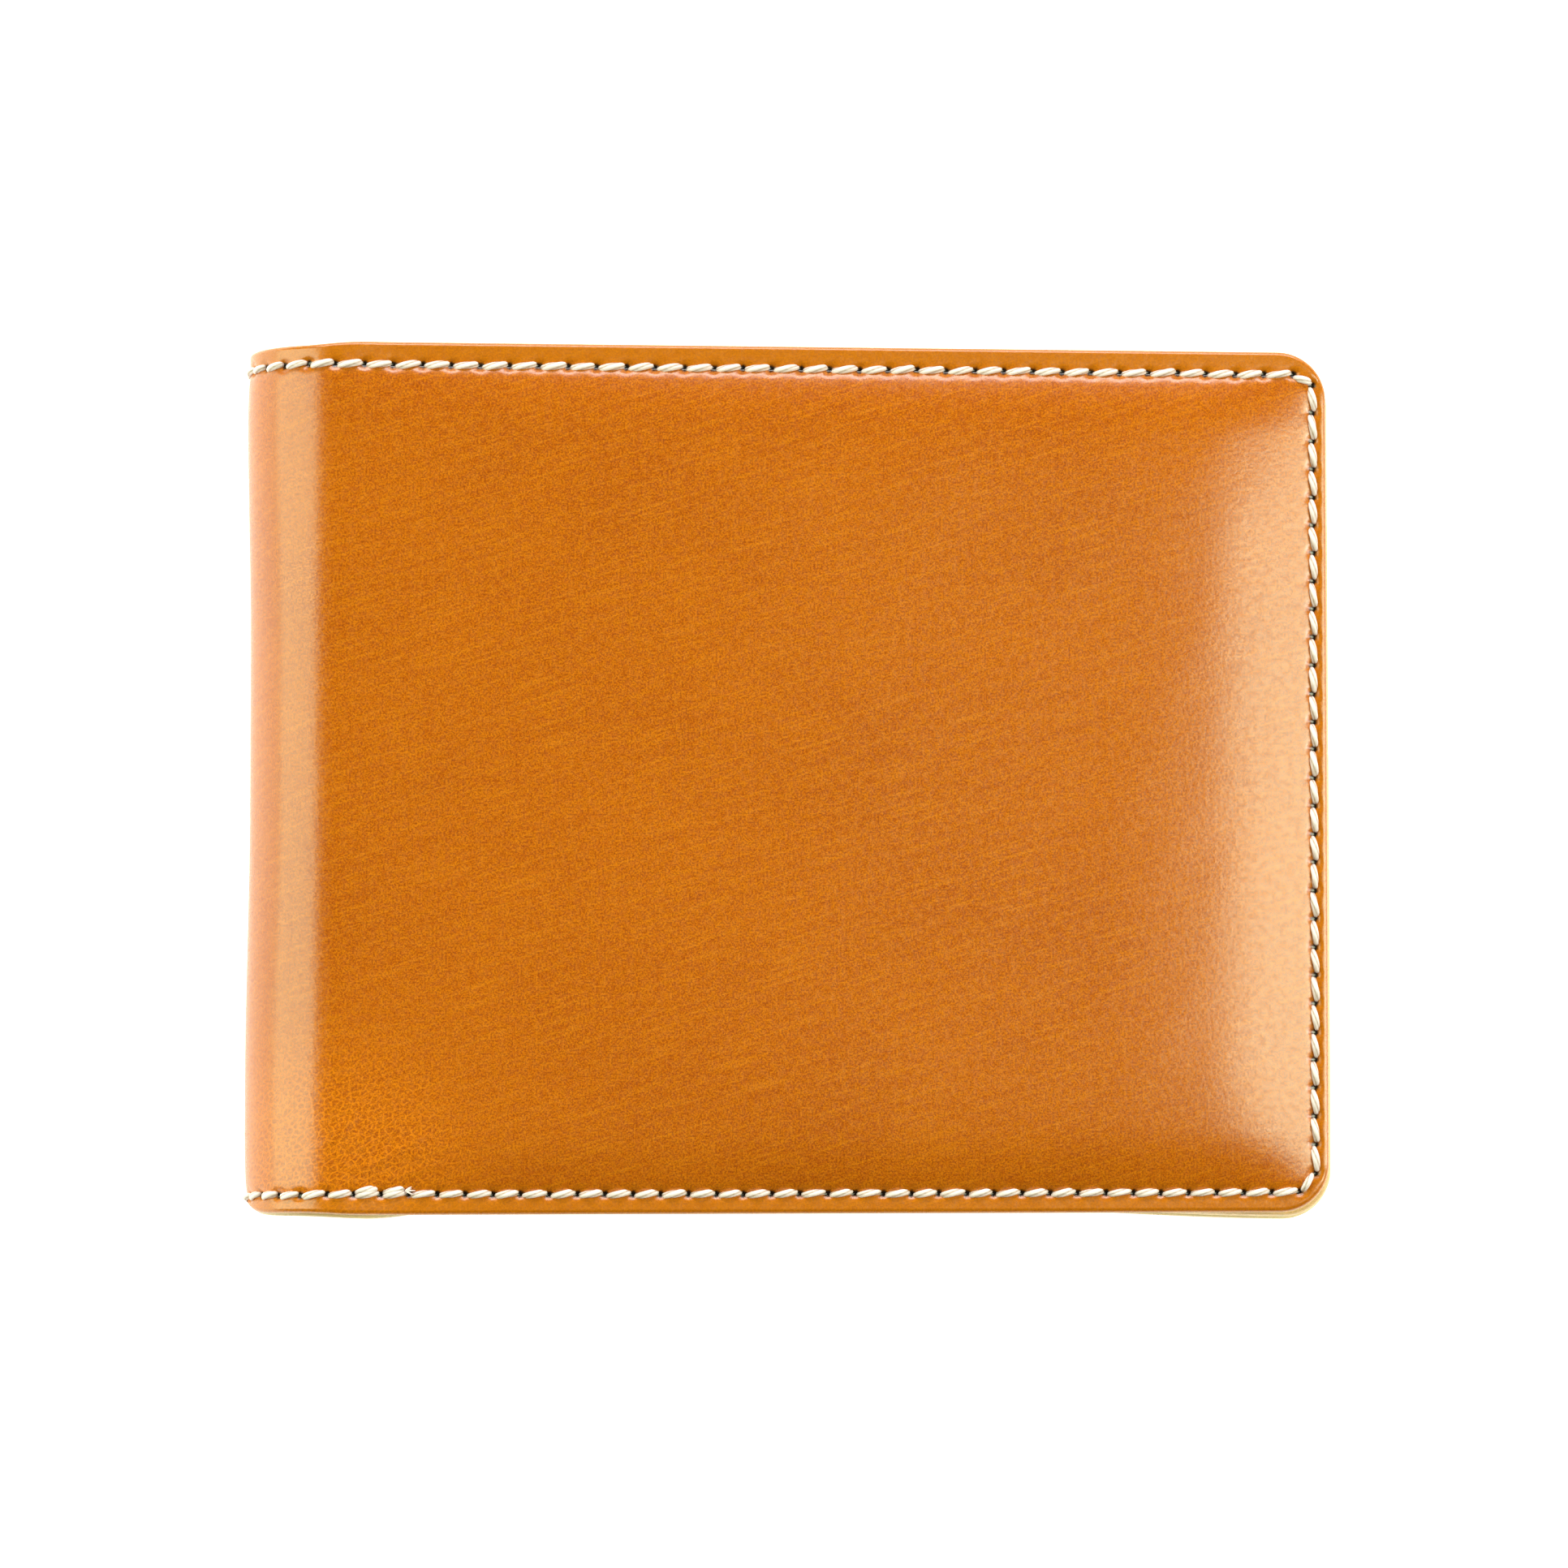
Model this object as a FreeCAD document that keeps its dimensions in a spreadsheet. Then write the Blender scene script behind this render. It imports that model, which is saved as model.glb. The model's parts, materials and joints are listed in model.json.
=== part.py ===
"""A bifold wallet, closed and lying on its back half.

+X runs from the fold to the free edges, +Y to the open top of the bill compartment, and +Z up.
The origin is below the middle of the wallet, on the surface that it lies on.

Each half is a stack of flat leather pieces. A piece's place in the stack is its depth below
the outer face of its own cover, and both halves are built by the same functions, the front one
upside down. The cover and its lining run round the fold. They bend on four fold lines, so
three curved strips of them are separate pieces between the two halves.
"""

import FreeCAD, Part
import math
import os
import Sketcher

# The two halves, by the side of the fold's axis that they lie on.
BACK = -1
FRONT = 1
LENGTH = {BACK: "back_length", FRONT: "front_length"}
STRIPS = 3
FOLD_LINES = STRIPS + 1
CARD_POCKETS = 3
# Two places nearer than this are the same place.
TINY = 0.01
# Thread on the hollow side of a bend is this much shorter than the rest, and stands off by this much.
INNER_SHARE = 0.75
INNER_LIFT = 0.1

DRIVING_SIZES = {
    "wallet_length": 112.0,
    "wallet_width": 90.0,
    "fold_radius": 10.0,
    "back_length": 102.0,
    "front_length": 100.8,
    "front_lean": 3.4,
    "corner_radius": 5.0,
    "cover_leather": 1.2,
    "board": 0.7,
    "lining": 0.4,
    "bill_gap": 0.9,
    "inner_wall": 0.7,
    "card_leather": 0.6,
    "front_leather": 0.7,
    "rim_width": 4.2,
    "plateau_corner": 2.5,
    "plateau_round": 0.6,
    "fold_margin": 3.5,
    "board_clearance": 0.1,
    "lining_inset": 0.3,
    "pocket_margin": 4.0,
    "pocket_inset": 0.2,
    "wall_top": 40.0,
    "pocket_step": 12.0,
    "pocket_depth": 46.0,
    "strip_height": 14.0,
    "tongue_inset": 4.0,
    "neutral_depth": 0.7,
    "strip_gap": 0.7,
    "thread": 0.8,
    "thread_height": 0.45,
    "thread_bed": 0.6,
    "bed_width": 1.6,
    "stitch_pitch": 3.1,
    "stitch_length": 2.55,
    "stitch_slant": 12.0,
    "seam_top": 2.4,
    "seam_bottom": 2.1,
    "seam_side": 1.4,
    "seam_pocket": 2.2,
}

document = FreeCAD.newDocument("bifold_wallet")
sheet = document.addObject("Spreadsheet::Sheet", "sizes")
for row, (alias, number) in enumerate(DRIVING_SIZES.items(), start=1):
    sheet.set(f"A{row}", alias)
    sheet.set(f"B{row}", str(number))
    sheet.setAlias(f"B{row}", alias)
document.recompute()


def size(alias):
    """A driving size, in millimetres or degrees, as the sheet holds it."""
    return float(getattr(sheet, alias))


# Expressions for the depths of the stack, each below the outer face of the half's own cover.
RIM_OUTSIDE = "sizes.board"
COVER_INSIDE = "sizes.cover_leather"
BOARD_INSIDE = "(sizes.cover_leather + sizes.board)"
LINING_INSIDE = f"({BOARD_INSIDE} + sizes.lining)"
GAP_INSIDE = f"({LINING_INSIDE} + sizes.bill_gap)"
WALL_INSIDE = f"({GAP_INSIDE} + sizes.inner_wall)"
CARDS_INSIDE = f"({WALL_INSIDE} + {CARD_POCKETS} * sizes.card_leather)"
STACK_INSIDE = f"({CARDS_INSIDE} + sizes.front_leather)"

# The same for the angles round the fold, from straight down, towards -X.
FOLD_STEP = f"((180 + sizes.front_lean) / {FOLD_LINES})"
HALF_GAP_ANGLE = "(sizes.strip_gap / 2 / sizes.fold_radius * 180 / pi)"
LIP_SWEEP = f"({FOLD_STEP} / 2 - {HALF_GAP_ANGLE})"
STRIP_SWEEP = f"({FOLD_STEP} - 2 * {HALF_GAP_ANGLE})"

# And for places along Y.
HALF_WIDTH = "sizes.wallet_width / 2"
FULL_WIDTH = (f"-{HALF_WIDTH}", HALF_WIDTH)
POCKET_BOTTOM = f"sizes.pocket_inset - {HALF_WIDTH}"


def length_of(side):
    """The expression for a half's length, from the fold's axis to its free edge."""
    return f"sizes.{LENGTH[side]}"


def fold_step():
    """The angle between two fold lines, in degrees."""
    return (180 + size("front_lean")) / FOLD_LINES


def strip_start(number):
    """The expression for the angle where a strip of the fold starts."""
    return f"({number} - 0.5) * {FOLD_STEP} + {HALF_GAP_ANGLE}"


def lip_start(side):
    """The expression for the angle where a half's own curved lip starts."""
    return "0" if side == BACK else "180"


def new_body(name):
    """An empty body whose own origin is on the fold's axis."""
    body = document.addObject("PartDesign::Body", name)
    body.Label = name
    return body


def origin_plane(body, role):
    """One of a body's own origin planes."""
    return next(plane for plane in body.Origin.OriginFeatures if plane.Role == role)


def polygon(body, name, corner, points, turn=None):
    """A closed sketch on the body's XY plane, moved to corner and turned about Y.

    The points are pairs of expressions for the distances from the sketch's own origin. The lines
    start out on a circle, and the constraints then pull each point to its place.
    """
    sketch = body.newObject("Sketcher::SketchObject", name)
    sketch.AttachmentSupport = (origin_plane(body, "XY_Plane"), "")
    sketch.MapMode = "FlatFace"
    for axis, distance in zip("xyz", corner):
        sketch.setExpression(f"AttachmentOffset.Base.{axis}", distance)
    if turn is not None:
        sketch.AttachmentOffset = FreeCAD.Placement(
            FreeCAD.Vector(), FreeCAD.Rotation(FreeCAD.Vector(0, 1, 0), 90)
        )
        sketch.setExpression("AttachmentOffset.Rotation.Angle", turn)
    count = len(points)
    turns = [2 * math.pi * i / count for i in range(count)]
    start = [FreeCAD.Vector(2 + math.cos(turn_i), 2 + math.sin(turn_i), 0) for turn_i in turns]
    for i in range(count):
        sketch.addGeometry(Part.LineSegment(start[i], start[(i + 1) % count]), False)
    for i in range(count):
        sketch.addConstraint(Sketcher.Constraint("Coincident", i, 2, (i + 1) % count, 1))
    for i, (across, up) in enumerate(points):
        for kind, distance, axis_line in (("DistanceX", across, -2), ("DistanceY", up, -1)):
            if distance == "0":
                sketch.addConstraint(Sketcher.Constraint("PointOnObject", i, 1, axis_line))
                continue
            index = sketch.addConstraint(Sketcher.Constraint(kind, -1, 1, i, 1, 1.0))
            sketch.setExpression(f"Constraints[{index}]", distance)
    return sketch


def rectangle(across, up):
    """The corners of a rectangle from the sketch's origin."""
    return [("0", "0"), (across, "0"), (across, up), ("0", up)]


def depth_level(side, depth):
    """The expression for the height of a depth of a half, from the fold's axis."""
    return f"{side} * (sizes.fold_radius - {depth})"


def pad(body, side, name, corner, outline, low, high):
    """Adds a flat piece with any outline, between two depths of a half."""
    sketch = polygon(body, f"{name}_outline", (*corner, depth_level(side, low)), outline)
    feature = body.newObject("PartDesign::Pad", name)
    feature.Profile = sketch
    feature.Reversed = side == FRONT
    feature.setExpression("Length", f"{high} - {low}")
    return feature


def slab(body, side, name, box, low, high):
    """Adds a rectangular plate, between two depths of a half."""
    left, right, bottom, top = box
    outline = rectangle(f"{right} - ({left})", f"{top} - ({bottom})")
    return pad(body, side, name, (left, bottom), outline, low, high)


def hollow(body, side, name, box, low, high):
    """Cuts a rectangular hollow, between two depths of a half."""
    left, right, bottom, top = box
    outline = rectangle(f"{right} - ({left})", f"{top} - ({bottom})")
    sketch = polygon(body, f"{name}_outline", (left, bottom, depth_level(side, low)), outline)
    feature = body.newObject("PartDesign::Pocket", name)
    feature.Profile = sketch
    feature.Reversed = side == BACK
    feature.setExpression("Length", f"{high} - {low}")
    return feature


def bend(body, kind, name, angles, depths, rows, backwards=False):
    """Adds or cuts a curved strip round the fold, between two depths and two places along Y."""
    start, sweep = angles
    low, high = depths
    bottom, top = rows
    inner, outer = f"sizes.fold_radius - {high}", f"sizes.fold_radius - {low}"
    width = f"{top} - ({bottom})"
    points = [(inner, "0"), (outer, "0"), (outer, width), (inner, width)]
    sketch = polygon(body, f"{name}_section", ("0", bottom, "0"), points, turn=f"90 + {start}")
    feature = body.newObject(f"PartDesign::{kind}", name)
    feature.Profile = sketch
    feature.ReferenceAxis = (sketch, ["V_Axis"])
    feature.Reversed = backwards
    feature.setExpression("Angle", sweep)
    return feature


def round_edges(body, name, radius, wanted):
    """Rounds the edges of the body so far that the function wanted picks."""
    document.recompute()
    base = body.Tip
    picked = [f"Edge{i}" for i, edge in enumerate(base.Shape.Edges, start=1) if wanted(edge)]
    feature = body.newObject("PartDesign::Fillet", name)
    feature.Base = (base, picked)
    feature.setExpression("Radius", radius)
    return feature


def upright_at(place_x, distance_y, top_too=True):
    """Picks edges along Z at one X and one distance from the middle, below or on both sides."""

    def wanted(edge):
        box = edge.BoundBox
        stands = max(box.XLength, box.YLength) < TINY < box.ZLength
        across = abs(box.Center.y) if top_too else -box.Center.y
        return stands and abs(across - distance_y) < TINY and abs(box.Center.x - place_x) < TINY

    return wanted


def seam_rows():
    """The heights along Y of the two seams that go round the fold."""
    half_width = size("wallet_width") / 2
    return half_width - size("seam_top"), size("seam_bottom") - half_width


def bed_rows():
    """Pairs of expressions for the two sides of each thread bed, along Y."""
    middles = (f"{HALF_WIDTH} - sizes.seam_top", f"sizes.seam_bottom - {HALF_WIDTH}")
    return [(f"{middle} - sizes.bed_width / 2", f"{middle} + sizes.bed_width / 2") for middle in middles]


def cover(side, name):
    """Cover leather of a half: a cushioned middle, a pinched rim, and a lip round the fold."""
    body = new_body(name)
    length = length_of(side)
    half_width = size("wallet_width") / 2
    free_x = size(LENGTH[side])
    lip = (lip_start(side), LIP_SWEEP)
    bend(body, "Revolution", "lip", lip, ("0", COVER_INSIDE), FULL_WIDTH, side == FRONT)
    slab(body, side, "fold_side", ("0", "sizes.fold_margin", *FULL_WIDTH), "0", COVER_INSIDE)
    slab(body, side, "rim", ("sizes.fold_margin", length, *FULL_WIDTH), RIM_OUTSIDE, BOARD_INSIDE)
    round_edges(body, "free_corners", "sizes.corner_radius", upright_at(free_x, half_width))
    inner = f"{HALF_WIDTH} - sizes.rim_width"
    plateau = ("sizes.fold_margin", f"{length} - sizes.rim_width", f"-({inner})", inner)
    slab(body, side, "plateau", plateau, "0", RIM_OUTSIDE)
    plateau_y = half_width - size("rim_width")
    corner_edges = upright_at(free_x - size("rim_width"), plateau_y)
    round_edges(body, "plateau_corners", "sizes.plateau_corner", corner_edges)

    def plateau_edge(edge):
        """Picks the plateau's outer edges, all but the one towards the fold."""
        box = edge.BoundBox
        outside = abs(box.Center.z - side * size("fold_radius")) < TINY and box.ZLength < TINY
        past_fold = box.XMax > size("fold_margin") + TINY
        return outside and past_fold and abs(box.Center.y) < plateau_y + TINY

    round_edges(body, "cushion", "sizes.plateau_round", plateau_edge)
    wall = "sizes.rim_width + sizes.cover_leather"
    nest = (
        "sizes.fold_margin + sizes.cover_leather",
        f"{length} - ({wall})",
        f"{wall} - {HALF_WIDTH}",
        f"{HALF_WIDTH} - ({wall})",
    )
    hollow(body, side, "board_nest", nest, COVER_INSIDE, BOARD_INSIDE)
    for i, rows in enumerate(bed_rows(), start=1):
        bend(body, "Groove", f"lip_bed_{i}", lip, ("0", "sizes.thread_bed"), rows, side == FRONT)
        hollow(body, side, f"bed_{i}", ("0", "sizes.fold_margin", *rows), "0", "sizes.thread_bed")
    return body


def stiffener(side, name):
    """Board between the cover and the lining, which holds a half flat."""
    body = new_body(name)
    wall = "(sizes.rim_width + sizes.cover_leather + sizes.board_clearance)"
    box = (
        "sizes.fold_margin + sizes.cover_leather + sizes.board_clearance",
        f"{length_of(side)} - {wall}",
        f"{wall} - {HALF_WIDTH}",
        f"{HALF_WIDTH} - {wall}",
    )
    slab(body, side, "board", box, COVER_INSIDE, BOARD_INSIDE)
    return body


def lining(side, name):
    """Lining of the bill compartment, which follows the cover round the fold."""
    body = new_body(name)
    rows = (f"sizes.lining_inset - {HALF_WIDTH}", f"{HALF_WIDTH} - sizes.lining_inset")
    thin = f"({COVER_INSIDE} + sizes.lining)"
    lip = (lip_start(side), LIP_SWEEP)
    bend(body, "Revolution", "lip", lip, (COVER_INSIDE, thin), rows, side == FRONT)
    slab(body, side, "fold_side", ("0", "sizes.fold_margin", *rows), COVER_INSIDE, thin)
    step = "sizes.fold_margin - sizes.lining"
    slab(body, side, "step", (step, "sizes.fold_margin", *rows), COVER_INSIDE, LINING_INSIDE)
    end = f"{length_of(side)} - sizes.lining_inset"
    slab(body, side, "sheet", (step, end, *rows), BOARD_INSIDE, LINING_INSIDE)
    edge_y = size("wallet_width") / 2 - size("lining_inset")
    corners = upright_at(size(LENGTH[side]) - size("lining_inset"), edge_y)
    round_edges(body, "free_corners", "sizes.corner_radius - sizes.lining_inset", corners)
    return body


def round_pocket_corner(body, side):
    """Rounds the lower free corner of a pocket piece, as the cover's corner."""
    corner_x = size(LENGTH[side]) - size("pocket_inset")
    corner_y = size("wallet_width") / 2 - size("pocket_inset")
    radius = "sizes.corner_radius - sizes.pocket_inset"
    round_edges(body, "free_corner", radius, upright_at(corner_x, corner_y, top_too=False))


def pocket_wall(side, name):
    """Inner wall of the bill compartment, with its sewn rim along the bottom and the free edge."""
    body = new_body(name)
    start, end = "sizes.pocket_margin", f"{length_of(side)} - sizes.pocket_inset"
    panel = (start, end, POCKET_BOTTOM, "sizes.wall_top")
    bottom_rim = (start, end, POCKET_BOTTOM, f"{POCKET_BOTTOM} + sizes.rim_width")
    side_rim = (f"{end} - sizes.rim_width", end, POCKET_BOTTOM, "sizes.wall_top")
    slab(body, side, "panel", panel, GAP_INSIDE, WALL_INSIDE)
    slab(body, side, "bottom_rim", bottom_rim, LINING_INSIDE, GAP_INSIDE)
    slab(body, side, "side_rim", side_rim, LINING_INSIDE, GAP_INSIDE)
    round_pocket_corner(body, side)
    return body


def card_pocket(side, name, number):
    """A T-shaped card pocket: a strip that shows, and a narrower tongue behind the next pocket."""
    body = new_body(name)
    span = f"({length_of(side)} - sizes.pocket_inset - sizes.pocket_margin)"
    bottom = f"sizes.wall_top - {number} * sizes.pocket_step - sizes.pocket_depth"
    arm = "sizes.pocket_depth - sizes.strip_height"
    tongue_left, tongue_right = "sizes.tongue_inset", f"{span} - sizes.tongue_inset"
    outline = [
        (tongue_left, "0"),
        (tongue_right, "0"),
        (tongue_right, arm),
        (span, arm),
        (span, "sizes.pocket_depth"),
        ("0", "sizes.pocket_depth"),
        ("0", arm),
        (tongue_left, arm),
    ]
    low = f"({WALL_INSIDE} + {number - 1} * sizes.card_leather)"
    high = f"({WALL_INSIDE} + {number} * sizes.card_leather)"
    pad(body, side, "pocket", ("sizes.pocket_margin", bottom), outline, low, high)
    return body


def front_pocket(side, name):
    """The lowest card pocket, a full-width panel over the tongues of the others."""
    body = new_body(name)
    end = f"{length_of(side)} - sizes.pocket_inset"
    top = f"sizes.wall_top - {CARD_POCKETS + 1} * sizes.pocket_step"
    panel = ("sizes.pocket_margin", end, POCKET_BOTTOM, top)
    slab(body, side, "panel", panel, CARDS_INSIDE, STACK_INSIDE)
    round_pocket_corner(body, side)
    return body


def spine_strip(name, number, depths, inset):
    """One of the curved strips between the two halves, at a depth of the cover."""
    body = new_body(name)
    rows = (f"{inset} - {HALF_WIDTH}", f"{HALF_WIDTH} - {inset}")
    bend(body, "Revolution", "strip", (strip_start(number), STRIP_SWEEP), depths, rows)
    return body


def spine_cover(name, number):
    """A curved strip of cover leather, with beds for the two rows of thread."""
    body = spine_strip(name, number, ("0", COVER_INSIDE), "0")
    for i, rows in enumerate(bed_rows(), start=1):
        angles = (strip_start(number), STRIP_SWEEP)
        bend(body, "Groove", f"bed_{i}", angles, ("0", "sizes.thread_bed"), rows)
    return body


def spine_lining(name, number):
    """A curved strip of lining inside the cover strip."""
    inside = f"({COVER_INSIDE} + sizes.lining)"
    return spine_strip(name, number, (COVER_INSIDE, inside), "sizes.lining_inset")


def thread_block(length):
    """One stitch as a flat block, lying along X with its underside at the origin."""
    corner = FreeCAD.Vector(-length / 2, -size("thread") / 2, 0)
    return Part.makeBox(length, size("thread"), size("thread_height"), corner)


def flat_stitch(side, x, y, depth, heading):
    """A stitch on a flat piece, from one depth to the next thread height deeper."""
    block = thread_block(size("stitch_length"))
    block.rotate(FreeCAD.Vector(), FreeCAD.Vector(0, 0, 1), heading)
    height = size("fold_radius") - depth
    low = -height if side == BACK else height - size("thread_height")
    block.translate(FreeCAD.Vector(x, y, low))
    return block


def curved_stitch(angle, y, depth, length):
    """A stitch round the fold, at an angle from straight down."""
    block = thread_block(length)
    block.translate(FreeCAD.Vector(0, y, depth - size("fold_radius")))
    block.rotate(FreeCAD.Vector(), FreeCAD.Vector(0, 1, 0), angle)
    return block


def row_places(start, end):
    """Evenly spaced places from start to no further than end, one stitch pitch apart."""
    count = math.floor((end - start) / size("stitch_pitch")) + 1
    return [start + i * size("stitch_pitch") for i in range(count)]


def stack_depth(y):
    """The depth of the half's inner face under a stitch that is centred at y."""
    leather_inside = size("cover_leather") + size("board") + size("lining")
    low_end = y - size("stitch_length") / 2
    if low_end > size("wall_top"):
        return leather_inside
    steps = (size("wall_top") - low_end) // size("pocket_step")
    wall_inside = leather_inside + size("bill_gap") + size("inner_wall")
    if steps <= CARD_POCKETS:
        return wall_inside + steps * size("card_leather")
    return wall_inside + CARD_POCKETS * size("card_leather") + size("front_leather")


def edge_stitches(side):
    """The thread of the three sewn edges of a half, on its outer and its inner face."""
    length = size(LENGTH[side])
    half_width = size("wallet_width") / 2
    slant, pitch = size("stitch_slant"), size("stitch_pitch")
    outer_depth = size("board") - size("thread_height")
    blocks = []
    row_start = size("pocket_margin") + size("stitch_length") / 2
    row_end = length - size("corner_radius")
    for y in seam_rows():
        for x in row_places(row_start, row_end):
            blocks.append(flat_stitch(side, x, y, outer_depth, slant))
            blocks.append(flat_stitch(side, x, y, stack_depth(y), slant))
        bed_depth = size("thread_bed") - size("thread_height")
        blocks.append(flat_stitch(side, size("fold_margin") / 2, y, bed_depth, 0))
        lip_angle = math.degrees((pitch - size("fold_margin") / 2) / size("fold_radius"))
        lip_middle = lip_angle if side == BACK else 180 - lip_angle
        blocks.append(curved_stitch(lip_middle, y, bed_depth, size("stitch_length")))
    side_x = length - size("seam_side")
    for y in row_places(size("corner_radius") - half_width, half_width - size("corner_radius")):
        blocks.append(flat_stitch(side, side_x, y, outer_depth, 90 + slant))
        blocks.append(flat_stitch(side, side_x, y, stack_depth(y), 90 + slant))
    return blocks


def pocket_stitches(side):
    """The thread that sews the card pockets to the inner wall, beside the fold."""
    x = size("pocket_margin") + size("seam_pocket")
    rim_top = size("pocket_inset") - size("wallet_width") / 2 + size("rim_width")
    start = rim_top + size("stitch_length")
    end = size("wall_top") - size("pocket_step") - size("stitch_length")
    leather_inside = size("cover_leather") + size("board") + size("lining")
    behind = leather_inside + size("bill_gap") - size("thread_height")
    blocks = []
    for y in row_places(start, end):
        blocks.append(flat_stitch(side, x, y, stack_depth(y), 90))
        blocks.append(flat_stitch(side, x, y, behind, 90))
    return blocks


def spine_stitches(number):
    """The thread on one curved strip, outside and inside, two stitches to a row."""
    middle = number * fold_step()
    spread = math.degrees(size("stitch_pitch") / 2 / size("fold_radius"))
    inside = size("cover_leather") + size("lining") + INNER_LIFT
    blocks = []
    for y in seam_rows():
        for angle in (middle - spread, middle + spread):
            outer_depth = size("thread_bed") - size("thread_height")
            blocks.append(curved_stitch(angle, y, outer_depth, size("stitch_length")))
            blocks.append(curved_stitch(angle, y, inside, size("stitch_length") * INNER_SHARE))
    return blocks


def thread_group(name, blocks):
    """A node that holds many separate stitches."""
    group = document.addObject("Part::Feature", name)
    group.Label = name
    group.Shape = Part.makeCompound(blocks)
    return group


def place(piece, lean=0.0):
    """Puts a piece on the fold's axis, turned about it by lean."""
    axis_x = size("fold_radius") - size("wallet_length") / 2
    axis = FreeCAD.Vector(axis_x, 0, size("fold_radius"))
    piece.Placement = FreeCAD.Placement(axis, FreeCAD.Rotation(FreeCAD.Vector(0, 1, 0), lean))
    return piece


def half(side, prefix, lean):
    """Every piece of one half."""
    pieces = [
        cover(side, f"{prefix}_cover"),
        stiffener(side, f"{prefix}_stiffener"),
        lining(side, f"{prefix}_lining"),
        pocket_wall(side, f"{prefix}_pocket_wall"),
        *[card_pocket(side, f"{prefix}_card_pocket_{n}", n) for n in range(1, CARD_POCKETS + 1)],
        front_pocket(side, f"{prefix}_front_pocket"),
        thread_group(f"{prefix}_edge_stitches", edge_stitches(side)),
        thread_group(f"{prefix}_pocket_stitches", pocket_stitches(side)),
    ]
    return [place(piece, lean) for piece in pieces]


def spine():
    """Every piece of the strips between the halves."""
    pieces = []
    for number in range(1, STRIPS + 1):
        pieces.append(spine_cover(f"spine_cover_{number}", number))
        pieces.append(spine_lining(f"spine_lining_{number}", number))
        pieces.append(thread_group(f"spine_stitches_{number}", spine_stitches(number)))
    return [place(piece) for piece in pieces]


def check(pieces):
    """Stops if any object failed to rebuild, or any piece isn't a valid shape."""
    document.recompute()
    for item in document.Objects:
        if "Invalid" in item.State or "Error" in item.State:
            raise RuntimeError(f"{item.Name} failed: {item.State}")
    for piece in pieces:
        if piece.Shape.isNull() or not piece.Shape.isValid():
            raise RuntimeError(f"{piece.Label} has no valid shape")


def print_fold_lines():
    """Prints where the four fold lines pass, which is where the record's hinges are."""
    half_step = math.radians(fold_step() / 2)
    neutral = size("fold_radius") - size("neutral_depth")
    radius = neutral * half_step / math.sin(half_step)
    axis_x = size("fold_radius") - size("wallet_length") / 2
    for line in range(FOLD_LINES):
        angle = (2 * line + 1) * half_step
        x = axis_x - radius * math.sin(angle)
        z = size("fold_radius") - radius * math.cos(angle)
        print(f"fold line {line + 1}: x {x:.4f}, z {z:.4f}, turns {fold_step():.4f} degrees")


all_pieces = half(BACK, "back", 0.0) + spine() + half(FRONT, "front", size("front_lean"))
check(all_pieces)
os.makedirs("parts", exist_ok=True)
for piece in all_pieces:
    piece.Shape.exportStep(f"parts/{piece.Label}.step")
print_fold_lines()
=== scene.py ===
import json
import math
from functools import partial

import bmesh
import bpy
import numpy as np
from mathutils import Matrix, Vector


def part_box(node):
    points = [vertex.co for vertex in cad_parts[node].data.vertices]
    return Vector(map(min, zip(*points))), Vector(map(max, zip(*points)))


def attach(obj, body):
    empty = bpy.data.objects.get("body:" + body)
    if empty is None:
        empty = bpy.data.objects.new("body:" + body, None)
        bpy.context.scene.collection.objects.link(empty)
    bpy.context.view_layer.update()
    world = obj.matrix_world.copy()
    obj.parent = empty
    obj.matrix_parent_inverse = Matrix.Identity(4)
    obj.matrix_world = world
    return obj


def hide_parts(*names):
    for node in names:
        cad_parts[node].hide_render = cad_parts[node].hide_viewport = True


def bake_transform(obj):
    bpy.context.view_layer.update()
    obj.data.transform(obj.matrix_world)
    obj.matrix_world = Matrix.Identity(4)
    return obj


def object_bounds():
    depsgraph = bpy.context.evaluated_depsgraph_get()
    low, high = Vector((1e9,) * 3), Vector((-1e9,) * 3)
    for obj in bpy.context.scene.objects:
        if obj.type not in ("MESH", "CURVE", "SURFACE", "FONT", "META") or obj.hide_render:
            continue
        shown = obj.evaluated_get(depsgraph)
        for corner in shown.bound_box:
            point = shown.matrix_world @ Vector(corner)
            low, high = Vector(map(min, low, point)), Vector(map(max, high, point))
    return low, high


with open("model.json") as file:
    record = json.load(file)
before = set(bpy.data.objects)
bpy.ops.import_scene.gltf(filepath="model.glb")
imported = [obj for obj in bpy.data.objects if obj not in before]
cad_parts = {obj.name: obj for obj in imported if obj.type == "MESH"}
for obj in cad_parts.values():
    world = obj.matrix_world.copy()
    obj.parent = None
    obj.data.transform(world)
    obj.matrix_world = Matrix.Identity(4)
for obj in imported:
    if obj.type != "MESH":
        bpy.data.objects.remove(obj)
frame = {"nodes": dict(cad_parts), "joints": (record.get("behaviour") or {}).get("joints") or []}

# A closed bifold wallet. Every leather sheet and every stitch is laid out first on a flat plan,
# as a leather worker draws it, and then placed round the fold. The plan is in millimetres: along
# (along the cover, 0 where the back half meets the fold), across (the frame's Y) and depth (below
# the outer face of the cover, towards the inside of the wallet). On either half, x is the distance
# from the fold towards the free edge, below 0 round the fold, and y is across.

MM = 0.001
CAD_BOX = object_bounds()
HINGES = [joint for joint in frame["joints"] if joint["type"] == "hinge"]
FOLD_STEP = math.radians(HINGES[0]["range_deg"][1])


def low_mm(node):
    """The lowest corner of a node's box, in millimetres."""
    return np.array(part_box(node)[0]) / MM


def high_mm(node):
    """The highest corner of a node's box, in millimetres."""
    return np.array(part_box(node)[1]) / MM


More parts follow.
